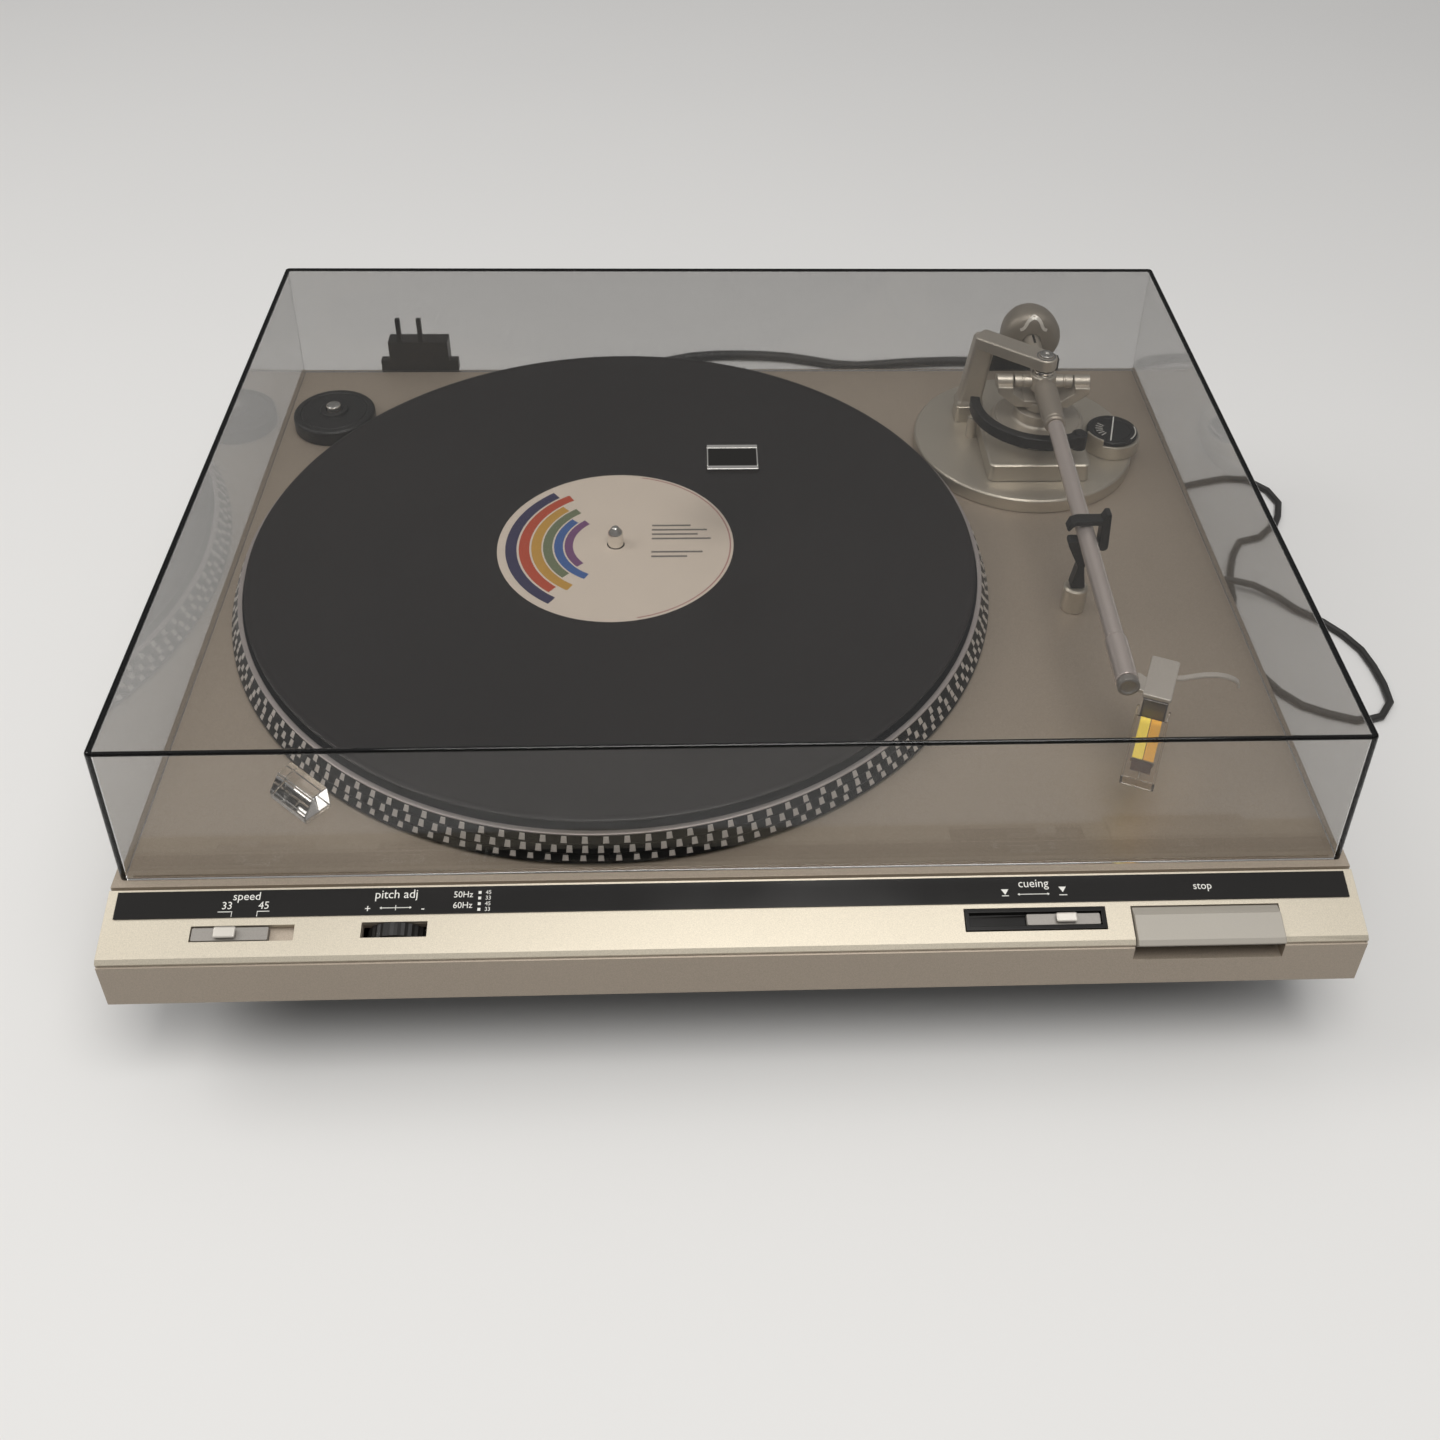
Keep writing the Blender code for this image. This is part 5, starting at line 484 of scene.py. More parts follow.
# Leads
MAINS_R = 0.00275
MAINS_X = -0.0684
AUDIO_R = 0.00175
AUDIO_X = 0.0116
LEAD_H = 0.05              # of the holes in the back wall
COIL_CLEAR = 0.0006
COIL_POINTS = 24           # in each turn
PATH_STEPS = 24            # between two points of a route
DROP_STEPS = 5             # in each of the two bends of a drop
SLEEVE_R = 0.0065
SLEEVE_LENGTH = 0.026
SLEEVE_FLANGE = 0.0025
SLEEVE_RIBS = 4
MAINS_ROUTE = mm((-64, 265, 0), (-39.4, 279.6, 0), (-8.4, 289.8, 0), (37.1, 288.6, 0), (75.6, 278.1, 0),
    (107.6, 281.1, 0), (138, 283.1, 0), (156.6, 282.5, 0), (172.2, 275.5, 1.8), (178.6, 261.1, 4.2),
    (172.2, 246, 1.8), (156.6, 239.1, 0), (125, 239.1, 0), (96, 239.1, 0))
AUDIO_ROUTE = mm((16, 252, 0), (33, 260.5, 0), (61.6, 264.5, 0), (107.6, 269.7, 0), (150.6, 268.1, 0),
    (178.6, 259.1, 0), (201.6, 247.1, 0), (236.6, 202.1, 0), (241.6, 165.1, 0), (250.1, 156, 0), (270, 161.5, 0),
    (286, 161, 0), (296.6, 142.1, 0), (283.2, 113.6, 0), (266.8, 106.1, 0), (254.9, 78.1, 0), (251.7, 60.5, 0),
    (243.6, 37.1, 0), (241.6, 22.1, 0), (247.6, 13.1, 0), (258, -8.4, 0), (272.4, -18.6, 0), (285, -23.1, 0),
    (301.6, -12.9, 0), (301.6, 22.1, 0), (290.9, 42.7, 0), (283.4, 48.5, 0), (269.3, 64.6, 2.2), (254.6, 71.6, 4.2),
    (236.6, 77.1, 1.2), (231.6, 107.1, 0), (231.6, 147.1, 0), (209.6, 180, 0))


def smooth_path(points, spacing):
    """Points at an even spacing along a smooth curve through the given ones."""
    pts = [Vector(p) for p in points]
    ends = [2 * pts[0] - pts[1]] + pts + [2 * pts[-1] - pts[-2]]
    fine = []
    for i in range(len(pts) - 1):
        a, b, c, d = ends[i:i + 4]
        for k in range(PATH_STEPS):
            t = k / PATH_STEPS
            fine.append(((b * 2) + (c - a) * t + (a * 2 - b * 5 + c * 4 - d) * t ** 2
                         + (b * 3 - a - c * 3 + d) * t ** 3) / 2)
    fine.append(pts[-1])
    total = sum((q - p).length for p, q in zip(fine, fine[1:]))
    count = max(2, round(total / spacing))
    step = total / count
    out = [fine[0]]
    run = 0.0
    for p, q in zip(fine, fine[1:]):
        seg = (q - p).length
        while seg and run + seg >= step * len(out) and len(out) < count:
            out.append(p.lerp(q, (step * len(out) - run) / seg))
        run += seg
    out.append(fine[-1])
    return out


def coil_points(centre, outer, pitch, turns, radius, start):
    """A flat coil: in along the table, up a layer at its middle, and out again above, half a turn further."""
    points = []
    inner = outer - pitch * turns
    steps_in = COIL_POINTS * turns
    half = COIL_POINTS // 2
    for i in range(2 * steps_in + half + 1):
        angle = start + 2 * pi * i / COIL_POINTS
        into = min(max(i - steps_in, 0), half)
        share = into / half
        if i <= steps_in:
            r = outer - pitch * i / COIL_POINTS
        elif i <= steps_in + half:
            r = inner - pitch * min(into, half - into) / COIL_POINTS
        else:
            r = inner + pitch * (i - steps_in - half) / COIL_POINTS
        z = radius + pitch * (3 - 2 * share) * share ** 2
        points.append(Vector((centre[0] + r * cos(angle), centre[1] + r * sin(angle), z)))
    return points


def drop(x, y_from, y_to, z_to):
    """Points of a lead that leaves the wall level and lies down on the table."""
    fall = LEAD_H - z_to
    turn_angle = 2 * atan2(fall, y_to - y_from)
    bend = (y_to - y_from) / (2 * sin(turn_angle))
    out = []
    for k in range(DROP_STEPS + 1):
        a = turn_angle * k / DROP_STEPS
        out.append(Vector((x, y_from + bend * sin(a), LEAD_H - bend * (1 - cos(a)))))
    for k in range(DROP_STEPS - 1, -1, -1):
        a = turn_angle * k / DROP_STEPS
        out.append(Vector((x, y_to - bend * sin(a), z_to + bend * (1 - cos(a)))))
    return out


def relief(name, x, share):
    """A ribbed, tapered sleeve on the back wall. Returns where it ends."""
    flange_r = SLEEVE_R * share
    root_r = flange_r * 0.8
    end_r = root_r * 0.62
    length = SLEEVE_LENGTH * share
    taper = length - SLEEVE_FLANGE
    profile = [(0, length), (end_r, length)]
    for i in range(SLEEVE_RIBS, 0, -1):
        for part, rib in ((0.0, 0.0), (0.45, 0.0), (0.45, 0.0008), (1.0, 0.0008)):
            along = (i - part) / SLEEVE_RIBS
            profile.append((root_r + (end_r - root_r) * along + rib * share, SLEEVE_FLANGE + taper * along))
    profile += [(flange_r, SLEEVE_FLANGE), (flange_r, 0), (0, 0)]
    wall = CASE_BACK_Y + GAP
    lathe(f"{name}_sleeve", profile, CORD, "case", shift((x, wall, LEAD_H)) @ BACK, 40, 0.0003, replaces=name)
    return wall + length


def lead(name, radius, step_share, start_y, x, table_from, route, centre, coil_r, turns, start, tail, plug_z):
    """A whole lead as one curve. Returns its end and heading, its exit and its length."""
    dia = 2 * radius
    begin = Vector((x, start_y + GAP, LEAD_H))
    pitch = dia + COIL_CLEAR
    loops = coil_points(centre, coil_r, pitch, turns, radius, start)
    heading = Vector((-sin(start), cos(start), 0))
    enter = loops[0] - heading * dia
    on_table = [Vector((a, b, radius + h)) for a, b, h in route]
    fall = drop(x, begin.y + dia, table_from, radius)
    path = smooth_path(fall + on_table + [enter - heading * (dia + GAP)], step_share * dia)
    leave = -heading
    out = loops[-1] + leave * tail
    out.z = plug_z
    middle = (loops[-1] + out) / 2
    points = [begin] + path + [enter] + loops + [middle, out - leave * dia, out]
    curve = rod(name, points, radius, 4)
    curve.materials.append(CORD)
    obj = bpy.data.objects.new(f"{name}_lead", curve)
    link(obj)
    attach(obj, "case")
    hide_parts(f"{name}_cord", f"{name}_coil")
    length = sum((q - p).length for p, q in zip(points, points[1:]))
    return obj, out + leave * GAP, leave, begin, length


def plug_place(end, way):
    """A plug's place on the table, from a lead's end and heading."""
    return shift((end.x, end.y, 0)) @ spin(atan2(way.y, way.x), "Z")


mains_from = relief("mains_relief", MAINS_X, 1.0)
mains, mains_end, mains_way, mains_exit, mains_length = lead(
    "mains", MAINS_R, 2.6, mains_from, MAINS_X, 0.25, MAINS_ROUTE, (0.0696, 0.2011), 0.038, 3, pi / 2, 0.025,
    0.008)
mains_place = plug_place(mains_end, mains_way)
mains_body = block("mains_plug_body", (0.0, -0.01, 0.0), (0.03, 0.01, 0.016), CORD, "case", mains_place, 0.004,
    0.002, replaces="mains_plug")
blades = [block(f"mains_blade_{i}", (0.029, y - 0.00075, 0.0049), (0.047, y + 0.00075, 0.0111), BRIGHT, "case",
    mains_place, 0.0003, 0.0003) for i, y in enumerate((-0.00635, 0.00635))]

audio_from = relief("audio_relief", AUDIO_X, 0.7)
audio, audio_end, audio_way, audio_exit, audio_length = lead(
    "audio", AUDIO_R, 3.4, audio_from, AUDIO_X, 0.241, AUDIO_ROUTE, (0.1836, 0.2021), 0.023, 2, 0.0, 0.018, 0.006)
audio_place = plug_place(audio_end, audio_way)
audio_body = block("audio_plug_body", (0.0, -0.012, 0.0), (0.026, 0.012, 0.012), CORD, "case", audio_place, 0.003,
    0.002, replaces="audio_plug")
pins = [lathe(f"audio_pin_{i}", mm((0, 40), (1.2, 40), (1.6, 39.2), (1.6, 29.5), (3.2, 29.5), (3.2, 25.5),
    (0, 25.5)), BRIGHT, "case", audio_place @ shift((0, y, 0.006)) @ SIDEWAYS, 24,
    0.0002) for i, y in enumerate((-0.006, 0.006))]

# Case, underside and internals: CAD pieces with finishes and softened edges
for name, finish, edge in (
        ("plinth", CHAMPAGNE, 0.0004), ("control_panel", PANEL_METAL, 0.00025), ("fascia", GLOSS, 0.0001),
        ("bottom_tray", DARK, 0.0005), ("cue_bezel", GLOSS, 0.00015), ("pitch_carrier", PLASTIC, 0.0002),
        ("bearing", ALLOY, 0.0002), ("motor_frame", STEEL, 0.0002), ("transformer", STEEL, 0.0004),
        ("circuit_board", BOARD, 0), ("return_cam", PLASTIC, 0), ("rotor", STEEL, 0.0003)):
    dress(name, finish, edge)
for side in "lr":
    dress(f"hinge_base_{side}", PLASTIC, 0.0004)
    dress(f"hinge_holder_{side}", PLASTIC, 0.0003)
for tag, x, y in (("fl", -1, -0.134002), ("fr", 1, -0.134002), ("bl", -1, 0.118), ("br", 1, 0.118)):
    lathe(f"foot_{tag}_pad", mm((0, 26.2), (22.5, 26.2), (22.5, 13.1), (19.5, 6.55), (19.5, 4.8), (18.7, 4.4),
        (18.7, 3.4), (19.5, 3), (19.5, 0), (10, 0), (9, 0.8), (0, 0.8)), RUBBER, "case",
        shift((x * 0.160013, y, 0)), 64, 0.0008, replaces=f"foot_{tag}")

# Platter, mat and record, with their origin on the turning axis
LIP_R = 0.1541
BODY_TOP = 0.0118
RIM_OUT, RIM_DOWN = 0.004, 0.011


def rim_point(share, inset=0.0):
    """A point down the rim, from its lip to its bottom edge."""
    return (LIP_R + RIM_OUT * share - inset, BODY_TOP - RIM_DOWN * share)


ROWS = ((0.08, 0.31, 133), (0.375, 0.62, 180), (0.7, 0.885, 160))     # top, bottom and count of the dots
ROW_STEP = 0.0003          # how far each row leans more than the rim
DOT_HALF = 0.00112
DOT_HEIGHT = 0.0026
DOT_RISE = 0.00016
DOT_SHRINK = 0.00015
rim = []
for top_share, low_share, count in ROWS:
    rim += [rim_point(top_share, ROW_STEP), rim_point(low_share, -ROW_STEP)]


def turning(name, profile, mat, sides, **more):
    """A ring that turns with the platter, with its origin on the axis."""
    lathe(name, profile, mat, "turning_platter", PLATTER, sides, closed=True, origin=SPINDLE, **more)


turning("platter_body", [*mm((152.2, 11.6), (153.8, 11.6)), *rim, *mm((158.1, 1.2), (157.8, 0.8), (154.6, 0.8),
    (150.6, 8.1), (14, 8.1), (13.8, 2), (3.6, 2), (3.6, 10.9), (152.2, 10.9))], RIM, 256, replaces="platter",
    angle=25)
turning("platter_lip", mm((152.25, 11.1), (152.25, 11.65), (152.4, 11.8), (153.9, 11.8), (154.15, 11.65),
    (154.2, 11.2), (153, 10.9)), LIP, 256, angle=50)


def rim_dots():
    """Raised dots on the three rows, smaller at their tops."""
    verts, faces = [], []
    for top_share, low_share, count in ROWS:
        top, low = Vector(rim_point(top_share, ROW_STEP)), Vector(rim_point(low_share, -ROW_STEP))
        out = Vector((top.y - low.y, low.x - top.x)).normalized()
        for i in range(count):
            a = 2 * pi * i / count
            base = len(verts)
            for rise, shrink in ((0.0, 0.0), (DOT_RISE, DOT_SHRINK)):
                for share, side in ((0.08, -0.8), (0.08, 0.8), (0.92, 1.0), (0.92, -1.0)):
                    along = share + (shrink / DOT_HEIGHT) * (1 if share < 0.5 else -1)
                    p = top.lerp(low, along) + out * rise
                    turn = a + (side * DOT_HALF - copysign(shrink, side)) / p.x
                    verts.append((*polar(p.x, turn), p.y))
            faces += [(base + 4, base + 5, base + 6, base + 7)]
            faces += [(base + k, base + (k + 1) % 4, base + 4 + (k + 1) % 4, base + 4 + k) for k in range(4)]
    piece("platter_dots", verts, faces, DOT, "turning_platter", PLATTER, origin=SPINDLE)


rim_dots()
turning("platter_mat_disc", mm((3.6, 13.4), (52.4, 13.4), (53, 14.1), (147.6, 14.1), (148, 13.7), (148, 11.2),
    (3.6, 11.2)), RUBBER, 192, replaces="platter_mat", edge=0.0003)
turning("record_disc", mm((3.6, 15.7), (50, 15.7), (50.8, 15.62), (53, 15.5), (148.2, 15.5), (149.2, 15.62),
    (150, 15.7), (150.8, 15.6), (151.2, 15.3), (151.2, 14.8), (150.4, 14.4), (3.6, 14.4)), VINYL, 256,
    replaces="record", angle=35)
turning("record_label", mm((3.7, 15.6), (3.7, 15.78), (49.3, 15.78), (49.6, 15.7), (49.6, 15.6)), CREAM, 160,
    angle=35)
LABEL_Z = 0.01579
INKS = {
    "indigo": (0.035, 0.03, 0.085), "red": (0.52, 0.075, 0.03), "amber": (0.6, 0.33, 0.055),
    "green": (0.17, 0.2, 0.11), "blue": (0.055, 0.13, 0.36), "plum": (0.19, 0.075, 0.19), "rose": (0.5, 0.27, 0.24),
    "grey": (0.2, 0.18, 0.16),
}
inks = {n: finish_of(f"ink_{n}", c, 0.6, vary=0.08, scale=200.0, bump=0.0) for n, c in INKS.items()}


def label_marks(name, shapes, ink):
    flat(name, shapes, inks[ink], "turning_platter", LABEL_Z, PLATTER, 0.00003)


for ink, r0, r1, a0, a1 in (
        ("indigo", 0.0415, 0.0462, 128, 236), ("red", 0.0362, 0.0406, 122, 230),
        ("amber", 0.0312, 0.0354, 132, 238), ("green", 0.0266, 0.0305, 126, 226),
        ("blue", 0.0222, 0.0259, 138, 242), ("plum", 0.018, 0.0215, 130, 224), ("rose", 0.048, 0.0486, -78, 78)):
    label_marks(f"label_arc_{ink}", [ring_sector(r0, r1, a0, a1, 40)], ink)
label_marks("label_bars", [bar(0.015, y, 0.015 + w, y + 0.0011) for y, w in ((0.012, 0.0165), (0.009, 0.0235),
    (0.006, 0.0195), (0.003, 0.025), (-0.006, 0.0215), (-0.009, 0.015))], "grey")
lathe("spindle_pin", mm((0, 25), (1.2, 25), (3.3, 22.2), (3.3, -22.5), (0, -22.5)), BRIGHT, "turning_platter",
    PLATTER, 48, 0.001, replaces="spindle")

# Single-record adapter on its peg, and the strobe's prism
NEST = shift((-0.187177, 0.116585, DECK_Z))
lathe("adapter_disc", mm((3.6, 9.2), (6.5, 9.2), (6.7, 7.9), (15, 7.9), (15.2, 7.5), (15.6, 7.5), (15.8, 7.9),
    (18.1, 7.8), (19, 6.9), (19, 0.3), (3.6, 0.3)), PLASTIC, "single_adapter", NEST, 72, 0.0004, closed=True,
    replaces="adapter_45")
lathe("adapter_peg_cap", mm((0, 11.3), (2.7, 11.3), (3.4, 10.8), (3.4, 9), (0, 9)), BRIGHT, "case", NEST, 32,
    0.0004)
plate("prism_block", mm((161.5, 0.3), (172.7, 0.3), (172.7, 3.5), (167.66, 10), (161.5, 10)), -0.01, 0.01, CLEAR,
    "case", PLATTER @ spin(radians(229.2 - 90), "Z"), "X", 0.0005, replaces="strobe_prism")

# Tonearm base
lathe("arm_base_disc", mm((0, 7), (49.4, 7), (49.6, 6.9), (50.7, 7), (51.5, 6.2), (51.5, 0.3), (0, 0.3)), SILVER,
    "case", FOOT @ shift((-0.0047, 0.004, 0)), 128, 0.0003, replaces="arm_base")
ROD = (-0.029599, 0.004688)       # of the lifter, from the pivot
lathe("lifter_guide_post", mm((1.5, 17.5), (2.1, 17.5), (2.3, 17.2), (2.3, 6.5), (1.5, 6.5)), ALLOY, "case",
    FOOT @ shift((*ROD, 0)), 32, closed=True, slot="champagne_paint")
block("arm_riser_block", (-0.026899, -0.032702, 0.0073), (0.0201, 0.013797, 0.016), SILVER, "case", FOOT, 0.0032,
    0.0013, 0.0002, replaces="arm_riser")
lathe("arm_pedestal_ring", mm((0, 27.5), (11.5, 27.5), (11.5, 22.5), (12.8, 21.6), (19.2, 21.6), (19.6, 21.2),
    (20.2, 21.6), (21.5, 20.8), (21.5, 16.3), (0, 16.3)), ALLOY, "case", FOOT, 96, 0.0005, replaces="arm_pedestal")

# Bracket over the pivot: a seat, a leaning leg with a flared foot, and a bar with a round end
SEAT_X, SEAT_Y = -0.029, 0.0215
BAR_HALF = 0.00525
block("bracket_seat", (SEAT_X - 0.0068, SEAT_Y - 0.0056, 0.0071), (SEAT_X + 0.0068, SEAT_Y + 0.0056, 0.0158),
    SILVER, "case", FOOT, 0.002, 0.0008, 0.0001)
loft("bracket_leg", [rounded((SEAT_X + lean - w, SEAT_Y + back - d), (SEAT_X + lean + w, SEAT_Y + back + d), 0.0018,
    z) for z, lean, back, w, d in ((0.0159, 0.0, 0.0, 0.0064, 0.0052), (0.017, 0.0, 0.0, 0.0064, 0.0052),
    (0.0178, 0.0001, 0.0, 0.006, 0.0047), (0.019, 0.0002, -0.0001, 0.0056, 0.0043),
    (0.03, 0.0014, -0.0008, 0.0054, 0.0041), (0.048, 0.0034, -0.002, 0.0051, 0.004),
    (0.052, 0.0038, -0.0022, 0.005, 0.0039), (0.0536, 0.0041, -0.0023, 0.0045, 0.0034))], ALLOY, "case", FOOT,
    replaces="arm_bracket", angle=45)
leg = Vector((SEAT_X + 0.0036, SEAT_Y - 0.0022))
away = -leg.normalized()
across = Vector((-away.y, away.x)) * BAR_HALF
start = leg - away * 0.003
turn = atan2(away.y, away.x)
round_end = [polar(BAR_HALF, turn - pi / 2 + pi * k / 16) for k in range(17)]
outline = fillet([start - across, *round_end, start + across], 0.0025, 4, closed=True)
plate("bracket_bar", outline, 0.048, 0.0542, ALLOY, "case", FOOT, edge=0.001)
lathe("bracket_ring", mm((3.7, 54), (3.7, 54.5), (4, 54.7), (4.4, 54.5), (4.4, 54)), STEEL, "case", FOOT, 48,
    closed=True)
lathe("pivot_screw_head", mm((0, 54.9), (1.1, 54.9), (1.2, 55.5), (3.2, 55.5), (3.2, 50), (1.6, 49), (1.6, 47.7),
    (0, 47.7)), BRIGHT, "case", FOOT, 40, 0.0003)

# Yoke and gimbal
plate("yoke_frame", mm((-12, 30), (12, 30), (21.25, 37.7), (21.25, 40.8), (14.1, 40.8), (14.1, 37.7), (8.5, 33.5),
    (-8.5, 33.5), (-14.1, 37.7), (-14.1, 40.8), (-21.25, 40.8), (-21.25, 37.7)), -0.00625, 0.00625, ALLOY,
    "arm_yoke", SWING, "Y", 0.0006, replaces="yoke")
for side, tag in ((-1, "l"), (1, "r")):
    lathe(f"gimbal_end_{tag}", mm((0, 20.8), (1.4, 20.8), (1.6, 21.5), (3.1, 21.5), (3.1, 14.1), (0, 14.1)), ALLOY,
        "arm_yoke", SWING @ shift((0, 0, AXIS_H)) @ spin(side * pi / 2, "Y"), 40, 0.0003)
lathe("yoke_pillar", mm((0, 47.3), (3, 47.3), (3.4, 47), (4, 47.3), (4.6, 47.3), (4.6, 46.1), (1.8, 46.1),
    (1.8, 33), (0, 33)), BRIGHT, "arm_yoke", SWING, 40, 0.0002)
lathe("yoke_neck_disc", mm((0, 32), (8, 32), (8, 27.8), (0, 27.8)), ALLOY, "arm_yoke", SWING, 48, 0.0004)
lathe("gimbal_bar", mm((3.1, 13.3), (3.1, 10), (2.8, 9.8), (2.8, 9.2), (3.1, 9), (3.1, -9), (2.8, -9.2),
    (2.8, -9.8), (3.1, -10), (3.1, -13.3), (0, -13.3)), ALLOY, "tonearm", LIFT @ SIDEWAYS, 40, 0.0001,
    replaces="gimbal_block")
lathe("gimbal_core", mm((3.4, 4.4), (5.4, 4.4), (6, 3.8), (6, -3.6), (3.4, -3.6)), ALLOY, "tonearm", LIFT, 48,
    0.0004, closed=True)
lathe("gimbal_core_ring", mm((3.4, 4.3), (3.4, 4.8), (4, 4.8), (4.4, 4.5), (4.4, 4.3)), BRIGHT, "tonearm", LIFT, 48,
    closed=True)
lathe("arm_collar", mm((0, 37.2), (4, 37.2), (4.7, 36.5), (4.7, 35.3), (4.4, 35), (4.4, 34.4), (4.7, 34.1),
    (5.4, 10.4), (4.7, 6.6), (4.4, 4.8), (0, 4.8)), COLLAR, "tonearm", LIFT @ AWAY, 48, 0.0002)
lathe("arm_stub", mm((0, 44), (3.4, 44), (4, 43.4), (4, 3), (0, 3)), ALLOY, "tonearm", LIFT @ BACK, 40)
lathe("arm_pipe", mm((0, 200.4), (3.2, 200.4), (3.6, 200.95), (4.3, 200.7), (4.3, 179.5), (4.1, 178.95),
    (3.6, 178.1), (3.6, 37.5), (0, 37.5)), TUBE, "tonearm", LIFT @ AWAY, 48, 0.0002, replaces="arm_tube")

# Counterweight: a bell with a rounded front, and on it a pale arch that is a painted highlight
ARCH_HALF = 0.00075
ARCH_SUNK, ARCH_PROUD = 0.0001, 0.00025
FRONT = mm((14.3, 39.8), (14, 37.8), (13.2, 36.2), (11.8, 35.1), (9.8, 34.6), (7, 34.5), (4.4, 34.5))
lathe("weight_bell", [(0.0, 0.0562), (0.0054, 0.0557), (0.009, 0.0543), (0.0114, 0.052), (0.0129, 0.049),
    (0.0138, 0.0457), (0.0142, 0.0425), *FRONT, (0.0044, 0.0465), (0, 0.0465)], BELL_METAL, "weight", LIFT @ BACK,
    72, replaces="counterweight", angle=50)


def front_of_bell(radius):
    """How far back the bell's front is at a radius."""
    for (r0, y0), (r1, y1) in zip(FRONT, FRONT[1:]):
        if r1 <= radius <= r0:
            return y0 + (y1 - y0) * (r0 - radius) / (r0 - r1)
    return FRONT[-1][1]


def weight_arch_highlight():
    """A painted highlight: a pale pointed arch with flared feet, raised on the bell's front."""
    line = mm((-6.4, 6.6), (-5, 7), (-4, 8.6), (-3.3, 10.4), (-2.1, 12), (0, 13.1), (2.1, 12), (3.3, 10.4),
        (4, 8.6), (5, 7), (6.4, 6.6))
    fine = fillet(line, 0.001)
    verts, faces = [], []
    for i, p in enumerate(fine):
        way = (fine[min(i + 1, len(fine) - 1)] - fine[max(i - 1, 0)]).normalized()
        side = Vector((-way.y, way.x)) * ARCH_HALF
        for q in (p - side, p + side):
            y = front_of_bell(q.length)
            verts += [(q.x, y + ARCH_SUNK, q.y), (q.x, y - ARCH_PROUD, q.y)]
    last = len(fine) - 1
    for k in range(last):
        a, b = 4 * k, 4 * k + 4
        faces += [(a, a + 2, b + 2, b), (a + 1, b + 1, b + 3, a + 3), (a, b, b + 1, a + 1),
                  (a + 2, a + 3, b + 3, b + 2)]
    faces += [(0, 1, 3, 2), (4 * last, 4 * last + 2, 4 * last + 3, 4 * last + 1)]
    piece("weight_arch_highlight", verts, faces, ARCH_HIGHLIGHT, "weight", LIFT)


weight_arch_highlight()
# A thin dark strip along the stub's top, just in front of the bell.
block("stub_dark_strip", (-0.0006, 0.027, 0.0034), (0.0006, 0.0343, 0.00412), PLASTIC, "tonearm", LIFT, 0.0002, 0.0001,
    slot="satin_alloy")

# Head
plate("headshell_plate", fillet(bar(-0.0052, -0.011, 0.0052, 0.011), 0.001, closed=True), -0.003, -0.0012, SHELL,
    "tonearm", HEAD, edge=0.0004, replaces="headshell")
to_head = Matrix.Rotation(-HEAD_ANGLE, 3, "Z")


def arm_point(x, y):
    """A point of the arm, seen from the head."""
    p = to_head @ Vector((x - HEAD_SIDE, y + HEAD_ALONG, 0))
    return (p.x, p.y)


END = 0.200973             # of the arm tube
plate("headshell_neck", [arm_point(0.001, -END - GAP), arm_point(0.001, -END - GAP - 0.0014), (-0.0026, -0.0092),
    (-0.0026, -0.0032), arm_point(0.0062, -0.1948), arm_point(0.0046, -0.1948), arm_point(0.0046, -END - GAP)],
    -0.0029, -0.0013, SHELL, "tonearm", HEAD, edge=0.0003)
cap_x, cap_y = arm_point(0, -END - GAP)
lathe("headshell_cap", mm((0, 2.6), (2.6, 2.6), (3, 3), (4.1, 2.8), (4.1, 0), (0, 0)), KNOB, "tonearm",
    HEAD @ shift((cap_x, cap_y, 0)) @ spin(-HEAD_ANGLE, "Z") @ AWAY, 40, 0.0002, slot="satin_alloy")
block("cartridge_body", (-0.0046, -0.0112, -0.0125), (0.0046, 0.009, -0.0033), CART, "tonearm", HEAD, 0.0008,
    0.0006, replaces="cartridge")
for i, x in enumerate((-0.0032, -0.0011, 0.0011, 0.0032)):
    lathe(f"cartridge_pin_{i}", mm((0, 2.5), (0.5, 2.5), (0.5, 0), (0, 0)), BRIGHT, "tonearm",
        HEAD @ shift((x, 0.0088, -0.0075)) @ BACK, 16, 0.0001)


STRIP_SHAPE = ((-1, -0.4), (-0.8, -1), (0.8, -1), (1, -0.4), (1, 0.4), (0.8, 1), (-0.8, 1), (-1, 0.4))


def strip(name, points, width, thick, mat, body, place, **more):
    """A flat strip along points in its own upright plane, with a width across it."""
    loops = []
    for i, p in enumerate(points):
        p = Vector(p)
        a, b = Vector(points[max(i - 1, 0)]), Vector(points[min(i + 1, len(points) - 1)])
        way = (b - a).normalized()
        side = Vector((-way.y, way.x, 0))
        side = side.normalized()
        up = way.cross(side).normalized()
        loops.append([tuple(p + side * sx * width / 2 + up * sz * thick / 2) for sx, sz in STRIP_SHAPE])
    return loft(name, loops, mat, body, place, **more)


LIFT_LINE = mm((5.4, 2.7, -2.1), (7.5, 3, -1.6), (10.5, 3.6, -0.3), (14.5, 4.6, 1), (18.5, 5.7, 1.5),
    (22, 6.7, 1.1), (24.8, 7.4, 0.1), (26.2, 7.7, -1), (26.7, 7.8, -3))
strip("finger_lift_strip", LIFT_LINE, 0.0024, 0.0011, SHELL, "tonearm", HEAD, replaces="finger_lift",
    slot="bright_metal")
SIDE = mm((2, -12.8), (-11.5, -12.8), (-26.5, -16.5), (-26.5, -18), (-8, -17.3), (2, -16.3))
plate("stylus_left", SIDE, -0.0038, -0.00015, YELLOW, "tonearm", HEAD, "X", 0.0003, replaces="stylus")
plate("stylus_right", SIDE, 0.00015, 0.0038, ORANGE, "tonearm", HEAD, "X", 0.0003)
